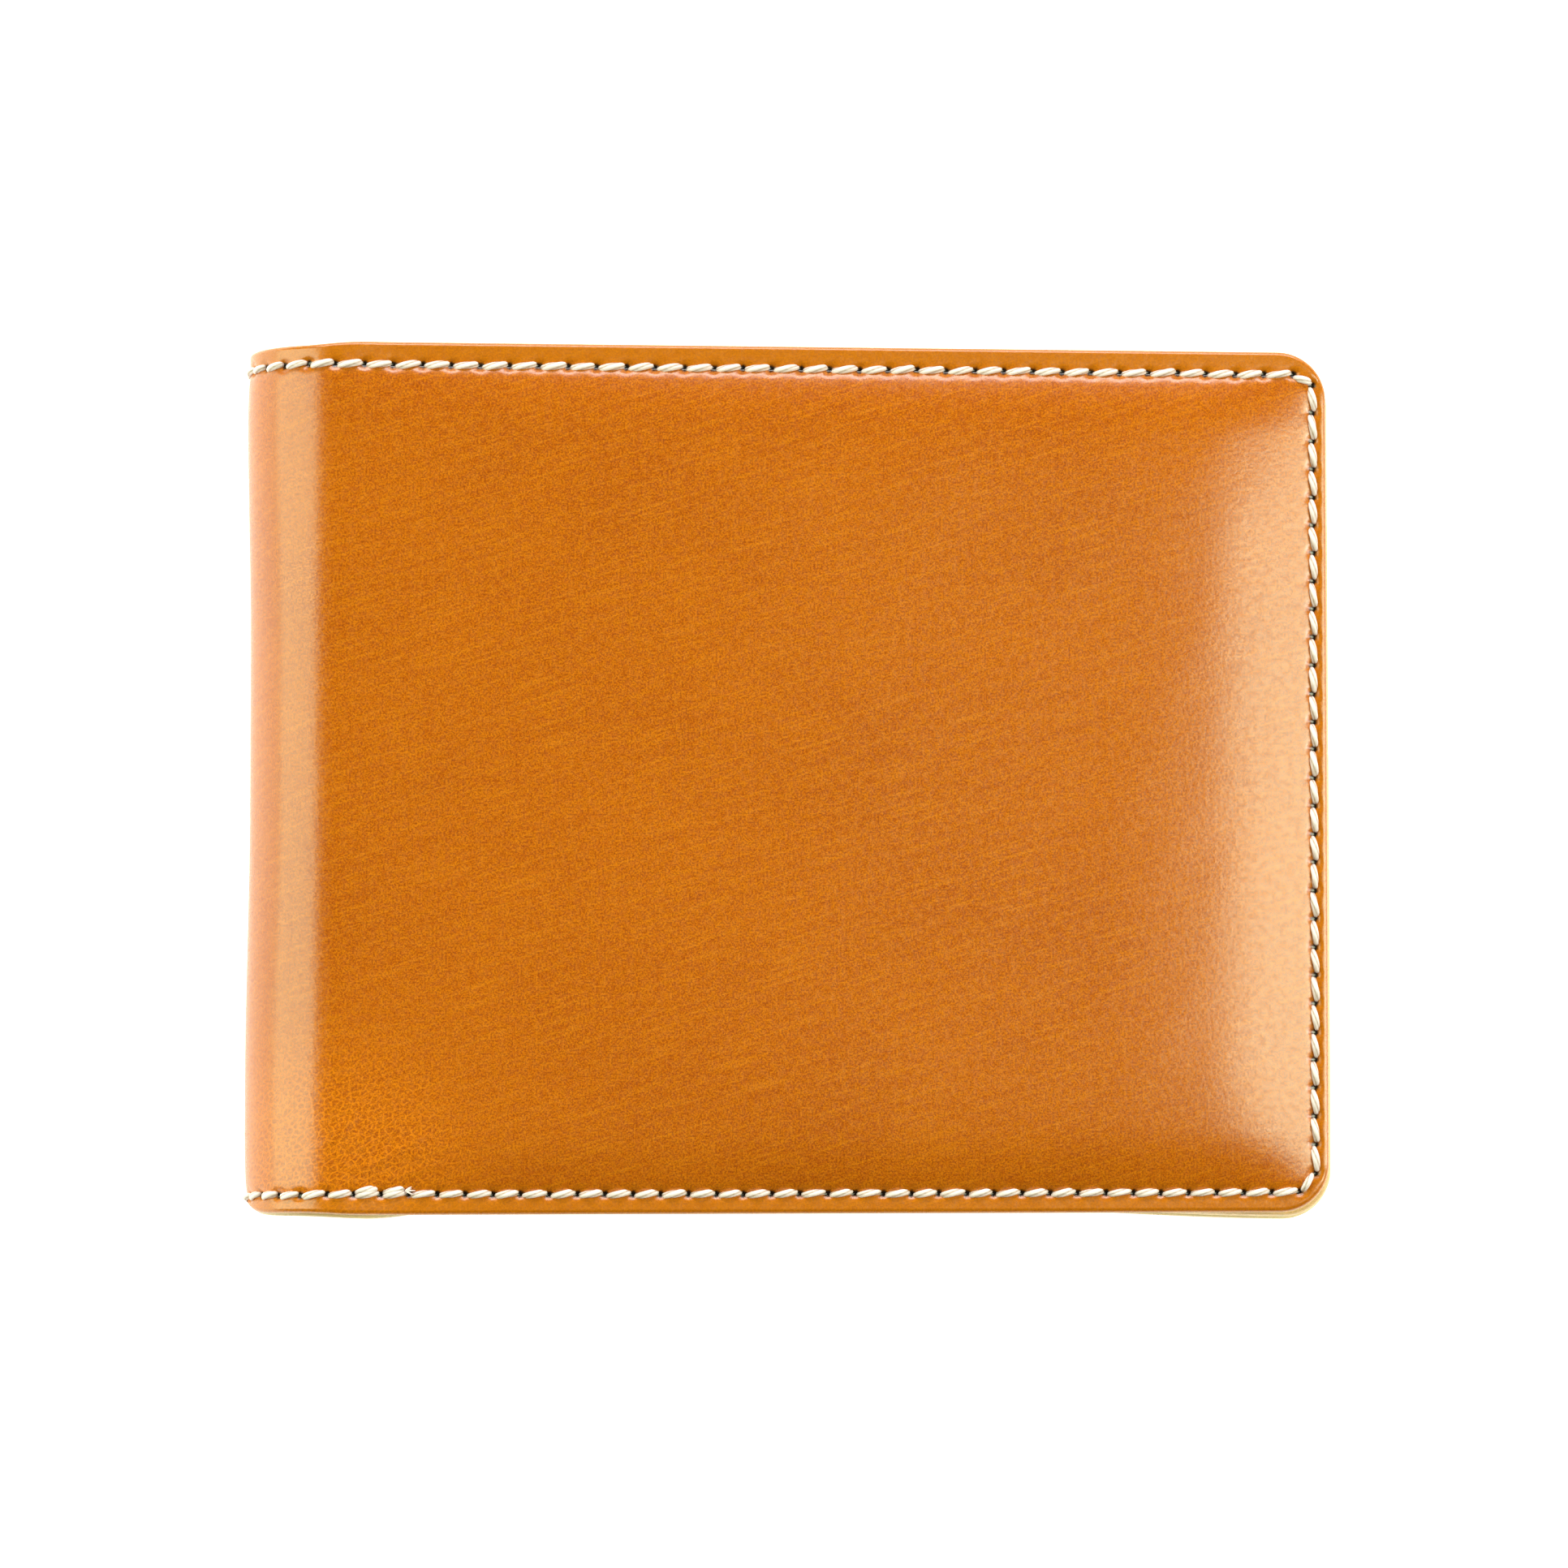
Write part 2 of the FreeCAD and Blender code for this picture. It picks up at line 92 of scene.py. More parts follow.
# Sizes that the frame gives.
RADIUS = high_mm("front_cover")[2] / 2
AXIS_X = low_mm("spine_cover_2")[0] + RADIUS
HALF_WIDTH = high_mm("back_cover")[1]
FOLD_ANGLE = len(HINGES) * FOLD_STEP
LEAN = FOLD_ANGLE - math.pi
FOLD_LENGTH = RADIUS * FOLD_ANGLE
COVER_THICK = low_mm("back_stiffener")[2]
RIM_DEPTH = high_mm("back_stiffener")[2] - COVER_THICK
BOARD_INSIDE = high_mm("back_stiffener")[2]
LINING_INSIDE = high_mm("back_lining")[2]
LINING_THICK = LINING_INSIDE - BOARD_INSIDE
BACK_LENGTH = high_mm("back_cover")[0] - AXIS_X
FRONT_LENGTH = (
    high_mm("front_cover")[0] - AXIS_X - (RADIUS - RIM_DEPTH) * math.sin(LEAN)
) / math.cos(LEAN)
POCKET_MARGIN = low_mm("back_pocket_wall")[0] - AXIS_X

# Sizes of the leather work.
CORNER = 5.0
SEAM_TOP = 2.4
SEAM_BOTTOM = 2.1
SEAM_SIDE = 1.4
TOP_PITCH, SIDE_PITCH, BOTTOM_PITCH = 3.02, 2.95, 2.85
POCKET_PITCH = 3.1
THREAD = 0.74
SLANT = 0.19
# The rim's depth below the cushion where it runs round the fold. On the halves it is RIM_DEPTH.
FOLD_RIM = 0.22
# The leather has drawn in a little across the wallet since it was cut.
DRAWN_IN = 0.993
# The front half narrows by this much on each side, from the fold to its free edge.
FRONT_TAPER = 0.45
# The lower edge is trimmed in by this much under the back half.
UNDER_TRIM = 1.2
# How far handling has worn in the fold's lower end, more of it in the middle, and its upper end.
WORN_LOW, WORN_MIDDLE, WORN_TOP = 0.25, 1.3, 0.40
WORN_RIM = 1.7
# How far from the fold's middle its ends are rubbed, and how wide the deeper wear there is.
RUBBED, WORN_WIDTH = (11, 19), 3.4
# Where the trim under the back half starts and ends, from the fold, and how far up it reaches.
TRIM_START, TRIM_END, TRIM_HEIGHT = (2, 14), (62, 98), 14

BACK, FRONT = "back", "front"


def smooth(value, low, high):
    """0 below low, 1 above high, and an even curve between."""
    t = np.clip((np.asarray(value, float) - low) / (high - low), 0, 1)
    return t * t * (3 - 2 * t)


def hand_cut(along, across):
    """How far the leather strays across from a straight cut, in millimetres."""
    from_fold = abs(along - FOLD_LENGTH / 2)
    lower_edge = smooth(-across, HALF_WIDTH - TRIM_HEIGHT, HALF_WIDTH)
    trimmed = UNDER_TRIM * smooth(-along, *TRIM_START) * (1 - smooth(-along, *TRIM_END)) * lower_edge
    rubbed = 1 - smooth(from_fold, *RUBBED)
    worn = WORN_LOW * rubbed + WORN_MIDDLE * np.exp(-((from_fold / WORN_WIDTH) ** 2))
    worn = worn * smooth(-across, HALF_WIDTH - WORN_RIM, HALF_WIDTH)
    worn_top = WORN_TOP * rubbed * smooth(across, HALF_WIDTH - WORN_RIM, HALF_WIDTH)
    towards_edge = np.clip((along - FOLD_LENGTH) / FRONT_LENGTH, 0, 1)
    tapered = FRONT_TAPER * across / HALF_WIDTH * towards_edge
    return trimmed + worn - worn_top - tapered


def place(along, across, depth):
    """Plan coordinates to the frame, in metres: flat, then round the fold, then flat again."""
    along, across, depth = np.broadcast_arrays(
        np.asarray(along, float), np.asarray(across, float), np.asarray(depth, float)
    )
    across = (across + hand_cut(along, across)) * DRAWN_IN
    angle = np.clip(along / RADIUS, 0.0, FOLD_ANGLE)
    past = along - angle * RADIUS
    reach = RADIUS - depth
    x = AXIS_X - reach * np.sin(angle) - past * np.abs(np.cos(angle)) * np.where(along < 0, 1, -1)
    z = RADIUS - reach * np.cos(angle) - np.where(along < 0, 0.0, past * math.sin(LEAN))
    return np.stack([x, across, z], axis=-1) * MM


def along_of(half, x):
    """The plan's along for a half's x."""
    return -np.asarray(x, float) if half == BACK else FOLD_LENGTH + np.asarray(x, float)


def length_of(half):
    """A half's length, from the fold to its free edge."""
    return BACK_LENGTH if half == BACK else FRONT_LENGTH


def pairs(points):
    """Each point with the one after it."""
    return zip(points[:-1], points[1:])


def swell(distance, width):
    """How far a cushion has risen at a distance inside its seam: steep first, then level."""
    return 1 - (1 - np.clip(np.asarray(distance, float) / width, 0, 1)) ** 2.4


RIPPLE_OCTAVES = 3
RIPPLE_WAVES = 5


def ripple(x, y, wave, seed):
    """Smooth unevenness between about -1 and 1, the same on each run."""
    random = np.random.default_rng(seed)
    total, weight = np.zeros(np.broadcast(x, y).shape), 0.0
    for octave in range(RIPPLE_OCTAVES):
        for _ in range(RIPPLE_WAVES):
            heading = random.uniform(0, 2 * math.pi)
            length = wave * random.uniform(0.7, 1.4) / 2**octave
            phase = (np.cos(heading) * x + np.sin(heading) * y) * 2 * math.pi / length
            total = total + np.sin(phase + random.uniform(0, 2 * math.pi)) / 2**octave
        weight += RIPPLE_WAVES / 2**octave
    return total / weight * 2


# ---- The seams ----

# Corner holes stand in from the rows, as a hand-sewn corner is turned.
TOP_CORNER_DROP = 1.1
TOP_CORNER_IN = 2.0
LOW_CORNER_RISE = 2.0
LOW_CORNER_IN = 1.7
# The pockets' own seam stands this far in from their fold side.
POCKET_SEAM_IN = 2.2
# Farther than this from a seam's rows, the leather isn't pulled down by it.
SEAM_REACH = 2.5
# How wide the dents of the thread and of a needle hole are.
THREAD_DENT, HOLE_DENT = 0.5, 0.46
# A hand-made hole strays from its place by about this much.
EDGE_STRAY, POCKET_STRAY = 0.035, 0.03
HOLE_SEEDS = {FRONT: 7, BACK: 8}
POCKET_SEED = 9


def even_steps(start, end, pitch):
    """Places from start to end, as near as possible to one pitch apart."""
    count = max(1, round(abs(end - start) / pitch))
    return np.linspace(start, end, count + 1)


def edge_holes(half):
    """The needle holes of a half's edge seam: along the top, down the free edge, back along the bottom."""
    middle = -FOLD_LENGTH / 2
    side = length_of(half) - SEAM_SIDE
    top, bottom = HALF_WIDTH - SEAM_TOP, SEAM_BOTTOM - HALF_WIDTH
    top_row = [(x, top) for x in even_steps(middle, side - TOP_CORNER_IN, TOP_PITCH)]
    down = even_steps(top - TOP_CORNER_DROP, bottom + LOW_CORNER_RISE, SIDE_PITCH)
    column = [(side, y) for y in down]
    bottom_row = [(x, bottom) for x in even_steps(side - LOW_CORNER_IN, middle, BOTTOM_PITCH)]
    random = np.random.default_rng(HOLE_SEEDS[half])
    holes = np.array(top_row + column + bottom_row)
    holes[1:-1] += random.normal(0, EDGE_STRAY, holes[1:-1].shape)
    return holes


def pocket_holes(half):
    """The needle holes of the seam that holds the card pockets beside the fold."""
    x = POCKET_MARGIN + POCKET_SEAM_IN
    low = low_mm(f"{half}_pocket_stitches")[1]
    high = high_mm(f"{half}_pocket_stitches")[1]
    holes = np.array([(x, y) for y in even_steps(high, low, POCKET_PITCH)])
    holes += np.random.default_rng(POCKET_SEED).normal(0, POCKET_STRAY, holes.shape)
    return holes


def seam_pull(x, y, holes):
    """How near points are to a seam: (0 to 1 for the thread's line, 0 to 1 for a needle hole)."""
    shape = np.shape(x)
    near = abs(x - holes[:, 0].max()) < SEAM_REACH
    for row in (holes[:, 1].min(), holes[:, 1].max()):
        near = near | (abs(y - row) < SEAM_REACH)
    flat_x, flat_y = x[near], y[near]
    line = np.full(flat_x.shape, np.inf)
    hole = np.full(flat_x.shape, np.inf)
    for start, end in pairs(holes):
        step = end - start
        t = ((flat_x - start[0]) * step[0] + (flat_y - start[1]) * step[1]) / (step @ step)
        t = np.clip(t, 0, 1)
        gap = (flat_x - start[0] - t * step[0]) ** 2 + (flat_y - start[1] - t * step[1]) ** 2
        line = np.minimum(line, gap)
    for centre in holes:
        hole = np.minimum(hole, (flat_x - centre[0]) ** 2 + (flat_y - centre[1]) ** 2)
    line_pull, hole_pull = np.zeros(shape), np.zeros(shape)
    line_pull[near] = np.exp(-line / THREAD_DENT**2)
    hole_pull[near] = np.exp(-hole / HOLE_DENT**2)
    return line_pull, hole_pull


HOLES = {half: edge_holes(half) for half in (BACK, FRONT)}
POCKET_HOLES = {half: pocket_holes(half) for half in (BACK, FRONT)}


# ---- The faces of the leather ----

# The front's middle stands up to this much above its plateau, and the fold's middle sinks by FOLD_DIP.
CROWN = 1.10
FOLD_DIP = 0.4
# How far in from its free side and from its rows the cushion rises, and the front's crown.
CUSHION_WIDTHS, CROWN_WIDTHS = (12.0, 7.0), (22.0, 16.0)
# How far the thread's line and a needle hole pull the leather in.
COVER_PULL, LINING_PULL, POCKET_PULL = (0.13, 0.45), (0.10, 0.22), (0.08, 0.2)
CREASE_WIDTH = 0.35
# Each crease's x and y at its start, its length, its heading in radians and its height.
CREASES = (
    (1.0, -41.0, 9.0, 0.50, 0.10),
    (3.5, -42.0, 7.0, 0.35, 0.07),
    (-2.5, -38.5, 6.0, 0.75, 0.06),
    (6.0, -39.0, 6.0, 0.20, 0.05),
)


def seam_gaps(half, x, y):
    """How far inside the edge seam's free side, top row and bottom row a place is."""
    return length_of(half) - SEAM_SIDE - x, HALF_WIDTH - SEAM_TOP - y, HALF_WIDTH - SEAM_BOTTOM + y


def cushion(half, x, y, side_width, row_width):
    """How far a cushion has risen at a place: 0 at the edge seam, and 1 in its middle."""
    from_side, from_top, from_bottom = seam_gaps(half, x, y)
    return swell(from_side, side_width) * swell(from_top, row_width) * swell(from_bottom, row_width)


def rim_level(x):
    """The depth of the leather's rim outside the cushion."""
    return FOLD_RIM + (RIM_DEPTH - FOLD_RIM) * smooth(x, -2.0, 7.0)


def cover_depth(half, x, y):
    """The outer face of the cover: a cushion, pulled down at its seam, with a soft uneven rim."""
    raised = cushion(half, x, y, *CUSHION_WIDTHS)
    depth = rim_level(x) * (1 - raised)
    depth = depth + FOLD_DIP * (1 - smooth(abs(y - 5), 8, 36)) * smooth(-x, 4, 12)
    if half == FRONT:
        depth = depth - CROWN * cushion(half, x, y, *CROWN_WIDTHS) * smooth(x, -6.0, 50.0)
        depth = depth + 0.05 * ripple(x, y, 34.0, 3) * raised * smooth(x, -8.0, 4.0)
        depth = depth - creases(x, y)
    line, hole = seam_pull(x, y, HOLES[half])
    by_thread, by_needle = COVER_PULL
    return depth + by_thread * line + by_needle * hole, hole


def creases(x, y):
    """Fine folds in the leather near the lower fold corner of the front."""
    lift = np.zeros(np.shape(x))
    for start_x, start_y, length, heading, height in CREASES:
        forward = (x - start_x) * math.cos(heading) + (y - start_y) * math.sin(heading)
        aside = -(x - start_x) * math.sin(heading) + (y - start_y) * math.cos(heading)
        bow = 0.05 * (forward - length / 2) ** 2 / length
        ends = smooth(forward, 0, 1.5) * (1 - smooth(forward, length - 1.5, length))
        lift = lift + height * ends * np.exp(-(((aside - bow) / CREASE_WIDTH) ** 2))
    return lift


def board_ramp(x):
    """0 round the fold, and 1 from where the board and the pockets begin."""
    return smooth(x, -0.5, POCKET_MARGIN)


def lining_level(x):
    """The depth of the lining's inner face, which drops to the thin leather where the board ends."""
    thin = COVER_THICK + LINING_THICK
    return thin + (LINING_INSIDE - thin) * board_ramp(x)


def lining_depth(half, x, y):
    """The inner face of the lining, pulled down at its seam."""
    line, hole = seam_pull(x, y, HOLES[half])
    by_thread, by_needle = LINING_PULL
    return lining_level(x) - by_thread * line - by_needle * hole, hole


# ---- Sheets of leather ----

EDGE_ROUND = 0.5
EDGE_RINGS = 7
# A round corner draws in the sheet's rows over this length.
CORNER_REACH = 12.0
ARC_STEP = 0.22
# The border's own colour fades out this far inside the seam.
BORDER_FADE = 1.2
# How far in from its edges a sheet's hidden face steps down.
RIM_STEPS = (3.4, 4.6)
# Where the cover's inner face comes up to the lining, in from its rows and from its free side.
ROW_STEP, SIDE_STEP = (5.1, 3.9), (5.4, 4.4)


class Shape:
    """Points and faces of one or more solid pieces, with the values its material needs at each point."""

    def __init__(self):
        self.points, self.faces, self.plan, self.marks = [], [], [], []
        self.caps, self.normals = [], {}

    def add(self, half, x, y, depth, marks=(0.0, 0.0, 0.0)):
        """Adds a plan point and returns its number. Marks are (needle hole, border, cut edge)."""
        along = float(along_of(half, x))
        self.points.append((along, float(y), float(depth)))
        self.plan.append((along * MM, float(y) * MM))
        self.marks.append(marks)
        return len(self.points) - 1

    def build(self, name, material, placed=False):
        """Makes the mesh object."""
        points = np.array(self.points)
        if not placed:
            points = place(points[:, 0], points[:, 1], points[:, 2])
        mesh = bpy.data.meshes.new(name)
        mesh.from_pydata(points.tolist(), [], self.faces)
        for number, mark in enumerate(("hole", "border", "edge")):
            values = np.array(self.marks, np.float32)[:, number]
            mesh.attributes.new(mark, "FLOAT", "POINT").data.foreach_set("value", values)
        corners = np.zeros(len(mesh.loops), np.int32)
        mesh.loops.foreach_get("vertex_index", corners)
        layer = mesh.uv_layers.new(name="Plan")
        layer.data.foreach_set("uv", np.array(self.plan, np.float32)[corners].ravel())
        mesh.shade_smooth()
        obj = new_object(name, mesh)
        turn_faces_out(mesh)
        self.smooth_over_cuts(mesh)
        mesh.materials.append(material)
        return obj

    def smooth_over_cuts(self, mesh):
        """Keeps the end caps flat, and shades the face as one with the next piece's."""
        if not self.caps:
            return
        for number in self.caps:
            mesh.polygons[number].use_smooth = False
        normals = [(0.0, 0.0, 0.0)] * len(mesh.loops)
        caps = set(self.caps)
        for polygon in mesh.polygons:
            if polygon.index in caps:
                continue
            for loop in polygon.loop_indices:
                vertex = mesh.loops[loop].vertex_index
                if vertex in self.normals:
                    normals[loop] = tuple(self.normals[vertex])
        mesh.normals_split_custom_set(normals)


def new_object(name, data):
    """Adds an object to the scene."""
    obj = bpy.data.objects.new(name, data)
    bpy.context.scene.collection.objects.link(obj)
    return obj


def turn_faces_out(mesh):
    """Makes every face of a closed mesh look outwards."""
    work = bmesh.new()
    work.from_mesh(mesh)
    bmesh.ops.recalc_face_normals(work, faces=work.faces)
    work.to_mesh(mesh)
    work.free()


def stand_back(y, low, high, round_low, round_high):
    """How far a sheet's end stands back at a place across it, where its corners are round."""
    into_high = np.clip(y - high + round_high, 0, round_high)
    into_low = np.clip(low + round_low - y, 0, round_low)
    back = round_high - np.sqrt(round_high**2 - into_high**2)
    return back + round_low - np.sqrt(round_low**2 - into_low**2)


def end_normal(y, low, high, round_low, round_high):
    """The plan direction that looks out of a sheet's end, as (towards the end, across)."""
    if round_high > 0 and y > high - round_high:
        across = (y - high + round_high) / round_high
    elif round_low > 0 and y < low + round_low:
        across = (y - low - round_low) / round_low
    else:
        across = 0.0
    across = min(1.0, max(-1.0, across))
    return math.sqrt(1 - across * across), across


def rows_across(low, high, round_low, round_high, step):
    """Places across a sheet: even in the middle, and following the arc through round corners."""
    def turn(radius):
        return radius * (1 - np.sin(np.linspace(0, math.pi / 2, max(3, round(radius / ARC_STEP)) + 1)))
    lower = low + turn(round_low)[::-1]
    upper = high - turn(round_high)
    middle = np.linspace(lower[-1], upper[0], max(2, round((upper[0] - lower[-1]) / step)) + 1)
    return np.concatenate([lower, middle[1:-1], upper])


class Sheet:
    """A closed sheet of leather.

    x_range is measured from the half's fold side and y_range across. shown gives the fine face's
    depth and needle-hole value, hidden the plainer face's depth. rounds are the corner radii (low
    end low side, low end high side, high end low side, high end high side), and free says for the
    low and the high end whether it is a rounded edge or a cut that meets the next piece.
    """

    def __init__(self, half, x_range, y_range, shown, hidden, rounds, free, edge=EDGE_ROUND, step=0.4):
        self.half, self.shown, self.edge = half, shown, edge
        self.free_low, self.free_high = free
        self.low, self.high = y_range[0] + edge, y_range[1] - edge
        self.rounds = [max(0.01, radius - edge) for radius in rounds]
        self.x, self.y = self.grid(x_range, step)
        self.last_x, self.last_y = self.x.shape[0] - 1, self.x.shape[1] - 1
        self.top, self.hole = shown(self.x, self.y)
        self.under = hidden(self.x, self.y)
        self.few = coarse_rows(self.y[0])
        self.low_end = [(0, j) for j in range(self.last_y - 1, 0, -1)] if self.free_low else []
        self.high_end = [(self.last_x, j) for j in range(1, self.last_y)] if self.free_high else []

    def grid(self, x_range, step):
        """The x and y of the sheet's points, drawn in at its round corners."""
        low_low, low_high, high_low, high_high = self.rounds
        start = x_range[0] + (self.edge if self.free_low else 0)
        end = x_range[1] - (self.edge if self.free_high else 0)
        ys = rows_across(self.low, self.high, max(low_low, high_low), max(low_high, high_high), step)
        xs = np.linspace(start, end, max(2, round((end - start) / step)) + 1)
        reach = min(CORNER_REACH, (end - start) / 2)
        x = np.repeat(xs[:, None], len(ys), axis=1)
        if self.free_low:
            back = stand_back(ys, self.low, self.high, low_low, low_high)
            x = x + back * np.clip(1 - (xs - start) / reach, 0, 1)[:, None]
        if self.free_high:
            back = stand_back(ys, self.low, self.high, high_low, high_high)
            x = x - back * np.clip(1 - (end - xs) / reach, 0, 1)[:, None]
        return x, np.repeat(ys[None, :], len(xs), axis=0)

    def add_to(self, shape):
        """Adds the sheet's points and faces to a shape."""
        fine = self.add_fine_face(shape)
        coarse = self.add_hidden_face(shape)
        rings = self.add_edges(shape, fine, coarse)
        self.add_cut_ends(shape, fine, coarse, rings)

    def add_fine_face(self, shape):
        """Adds the face that shows, and returns the numbers of its points."""
        border = np.clip(1 - edge_gap(self.half, self.x, self.y) / BORDER_FADE, 0, 1)
        fine = {}
        for i in range(self.last_x + 1):
            for j in range(self.last_y + 1):
                marks = (self.hole[i, j], border[i, j], 0.0)
                fine[i, j] = shape.add(self.half, self.x[i, j], self.y[i, j], self.top[i, j], marks)
        for i in range(self.last_x):
            for j in range(self.last_y):
                shape.faces.append((fine[i, j], fine[i + 1, j], fine[i + 1, j + 1], fine[i, j + 1]))
        return fine

    def add_hidden_face(self, shape):
        """Adds the hidden face, in fewer rows, and returns the numbers of its points."""
        coarse = {}
        wanted = {(i, j) for i in range(self.last_x + 1) for j in self.few}
        for i, j in sorted(wanted | set(self.low_end) | set(self.high_end)):
            coarse[i, j] = shape.add(self.half, self.x[i, j], self.y[i, j], self.under[i, j])
        for i in range(self.last_x):
            for j, after in pairs(self.few):
                face = [coarse[i, j], coarse[i + 1, j]]
                if i + 1 == self.last_x and self.free_high:
                    face += [coarse[i + 1, k] for k in range(j + 1, after)]
                face += [coarse[i + 1, after], coarse[i, after]]
                if i == 0 and self.free_low:
                    face += [coarse[i, k] for k in range(after - 1, j, -1)]
                shape.faces.append(tuple(face))
        return coarse

    def edge_runs(self):
        """The runs of border points that have a round edge."""
        low_side = [(i, 0) for i in range(self.last_x + 1)]
        high_side = [(i, self.last_y) for i in range(self.last_x, -1, -1)]
        if self.free_low and self.free_high:
            return [low_side + self.high_end + high_side + self.low_end + low_side[:1]]
        if self.free_high:
            return [low_side + self.high_end + high_side]
        return [low_side, high_side]

    def look_out(self, i, j):
        """The plan direction that looks out of the sheet at a border point, as (x, y)."""
        if j in (0, self.last_y):
            return 0.0, -1.0 if j == 0 else 1.0
        rounds = self.rounds[:2] if i == 0 else self.rounds[2:]
        out, across = end_normal(self.y[i, j], self.low, self.high, *rounds)
        return (-out, across) if i == 0 else (out, across)

    def add_ring(self, shape, i, j):
        """Adds the points of the round edge at a border point, between its two faces."""
        out_x, out_y = self.look_out(i, j)
        top, under = self.top[i, j], self.under[i, j]
        middle, spread = (top + under) / 2, (under - top) / 2
        ring = []
        for k in range(1, EDGE_RINGS):
            angle = math.pi * k / EDGE_RINGS
            out = self.edge * math.sin(angle)
            depth = middle - spread * math.cos(angle)
            marks = (0.0, 1.0, float(smooth(angle, 1.0, 1.9)))
            x, y = self.x[i, j] + out_x * out, self.y[i, j] + out_y * out
            ring.append(shape.add(self.half, x, y, depth, marks))
        return ring

    def add_edges(self, shape, fine, coarse):
        """Adds the round edges, and returns the rings of points that they are made of."""
        rings = {}
        for run in self.edge_runs():
            for i, j in dict.fromkeys(run):
                rings[i, j] = [fine[i, j]] + self.add_ring(shape, i, j) + [coarse[i, j]]
            for here, after in pairs(run):
                for k in range(EDGE_RINGS):
                    a, b = rings[here], rings[after]
                    shape.faces.append((a[k], b[k], b[k + 1], a[k + 1]))
        return rings

    def add_cut_ends(self, shape, fine, coarse, rings):
        """Closes each end that meets the next piece with a flat cap."""
        for i, is_free in ((0, self.free_low), (self.last_x, self.free_high)):
            if is_free:
                continue
            cap = [fine[i, j] for j in range(self.last_y + 1)] + rings[i, self.last_y][1:-1]
            cap += [coarse[i, j] for j in reversed(self.few)] + rings[i, 0][-2:0:-1]
            shape.caps.append(len(shape.faces))
            shape.faces.append(tuple(cap))
            middle = self.last_y // 2
            looks_in = self.top[i, middle] > self.under[i, middle]
            normals = face_normals(self.half, self.x[i], self.y[i], self.shown, looks_in)
            shape.normals.update({fine[i, j]: normals[j] for j in range(1, self.last_y)})


def face_normals(half, x, y, shown, looks_in):
    """The directions that the fine face looks at plan points, worked out across the cut."""
    def spots(x, y):
        return place(along_of(half, x), y, shown(x, y)[0])
    step = 0.05
    along = spots(x + step, y) - spots(x - step, y)
    across = spots(x, y + step) - spots(x, y - step)
    normals = np.cross(along, across)
    normals /= np.linalg.norm(normals, axis=1)[:, None]
    outwards = place(along_of(half, x), y, -1.0) - place(along_of(half, x), y, 0.0)
    wrong = ((normals * outwards).sum(axis=1) > 0) == looks_in
    return np.where(wrong[:, None], -normals, normals)


def coarse_rows(ys):
    """Numbers of the rows that the hidden face keeps: its ends, and where its rim steps down."""
    rows = {0, len(ys) - 1}
    for inset in RIM_STEPS:
        if ys[-1] - ys[0] > 4 * inset:
            rows.add(int(np.argmin(abs(ys - ys[0] - inset))))
            rows.add(int(np.argmin(abs(ys - ys[-1] + inset))))
    return sorted(rows)


def edge_gap(half, x, y):
    """How far inside the edge seam a place is, in millimetres, and 0 outside it."""
    return np.clip(np.minimum.reduce(seam_gaps(half, x, y)), 0, None)


# Each half's own share of the cover and lining, and the two strips between them, as
# (name, half, is it the flat half, the bodies it lies between, the CAD nodes it stands for).
COVER_PARTS = (
    ("back", BACK, True, ("back_half", "spine_1"), ("back_cover",)),
    ("spine_low", BACK, False, ("spine_1", "spine_2"), ("spine_cover_1",)),
    ("spine_high", FRONT, False, ("spine_2", "spine_3"), ("spine_cover_2",)),
    ("front", FRONT, True, ("spine_3", "front_half"), ("front_cover", "spine_cover_3")),
)


def part_range(half, is_flat):
    """Where a part of the cover starts and ends, from the half's fold side."""
    quarter = FOLD_LENGTH / 4
    return (-quarter, length_of(half)) if is_flat else (-2 * quarter, -quarter)


def bend_part(obj, half, is_flat):
    """Bakes the part's transform into its mesh. Where its ends lie on the innermost leather of the fold is
    worked out but not used, and the part follows no body.
    """
    inner = COVER_THICK + LINING_THICK
    ends = (0, -FOLD_LENGTH / 4) if is_flat else (-FOLD_LENGTH / 4, -FOLD_LENGTH / 2)
    start, end = [place(along_of(half, x), 0, inner) for x in (ends if half == BACK else ends[::-1])]
    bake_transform(obj)


def cover_hidden(half, x, y):
    """The cover's inner face: thin where the board lies, and up to the lining round it."""
    across = smooth(abs(y), HALF_WIDTH - ROW_STEP[0], HALF_WIDTH - ROW_STEP[1])
    side = smooth(x, length_of(half) - SIDE_STEP[0], length_of(half) - SIDE_STEP[1])
    return COVER_THICK + RIM_DEPTH * np.maximum(across, side) * board_ramp(x)


def lining_hidden(x, y):
    """The lining's outer face, which lies on the board and the cover."""
    return COVER_THICK + RIM_DEPTH * board_ramp(x)


def make_cover(material):
    """The cover, in its four parts."""
    for name, half, is_flat, bodies, nodes in COVER_PARTS:
        shape = Shape()
        corners = (CORNER,) * 4 if is_flat else (EDGE_ROUND + 0.1,) * 4
        Sheet(
            half, part_range(half, is_flat), (-HALF_WIDTH, HALF_WIDTH),
            partial(cover_depth, half), partial(cover_hidden, half), corners, (False, is_flat),
        ).add_to(shape)
        obj = shape.build(f"leather_cover_{name}", material)
        bend_part(obj, half, is_flat)
        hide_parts(*nodes)


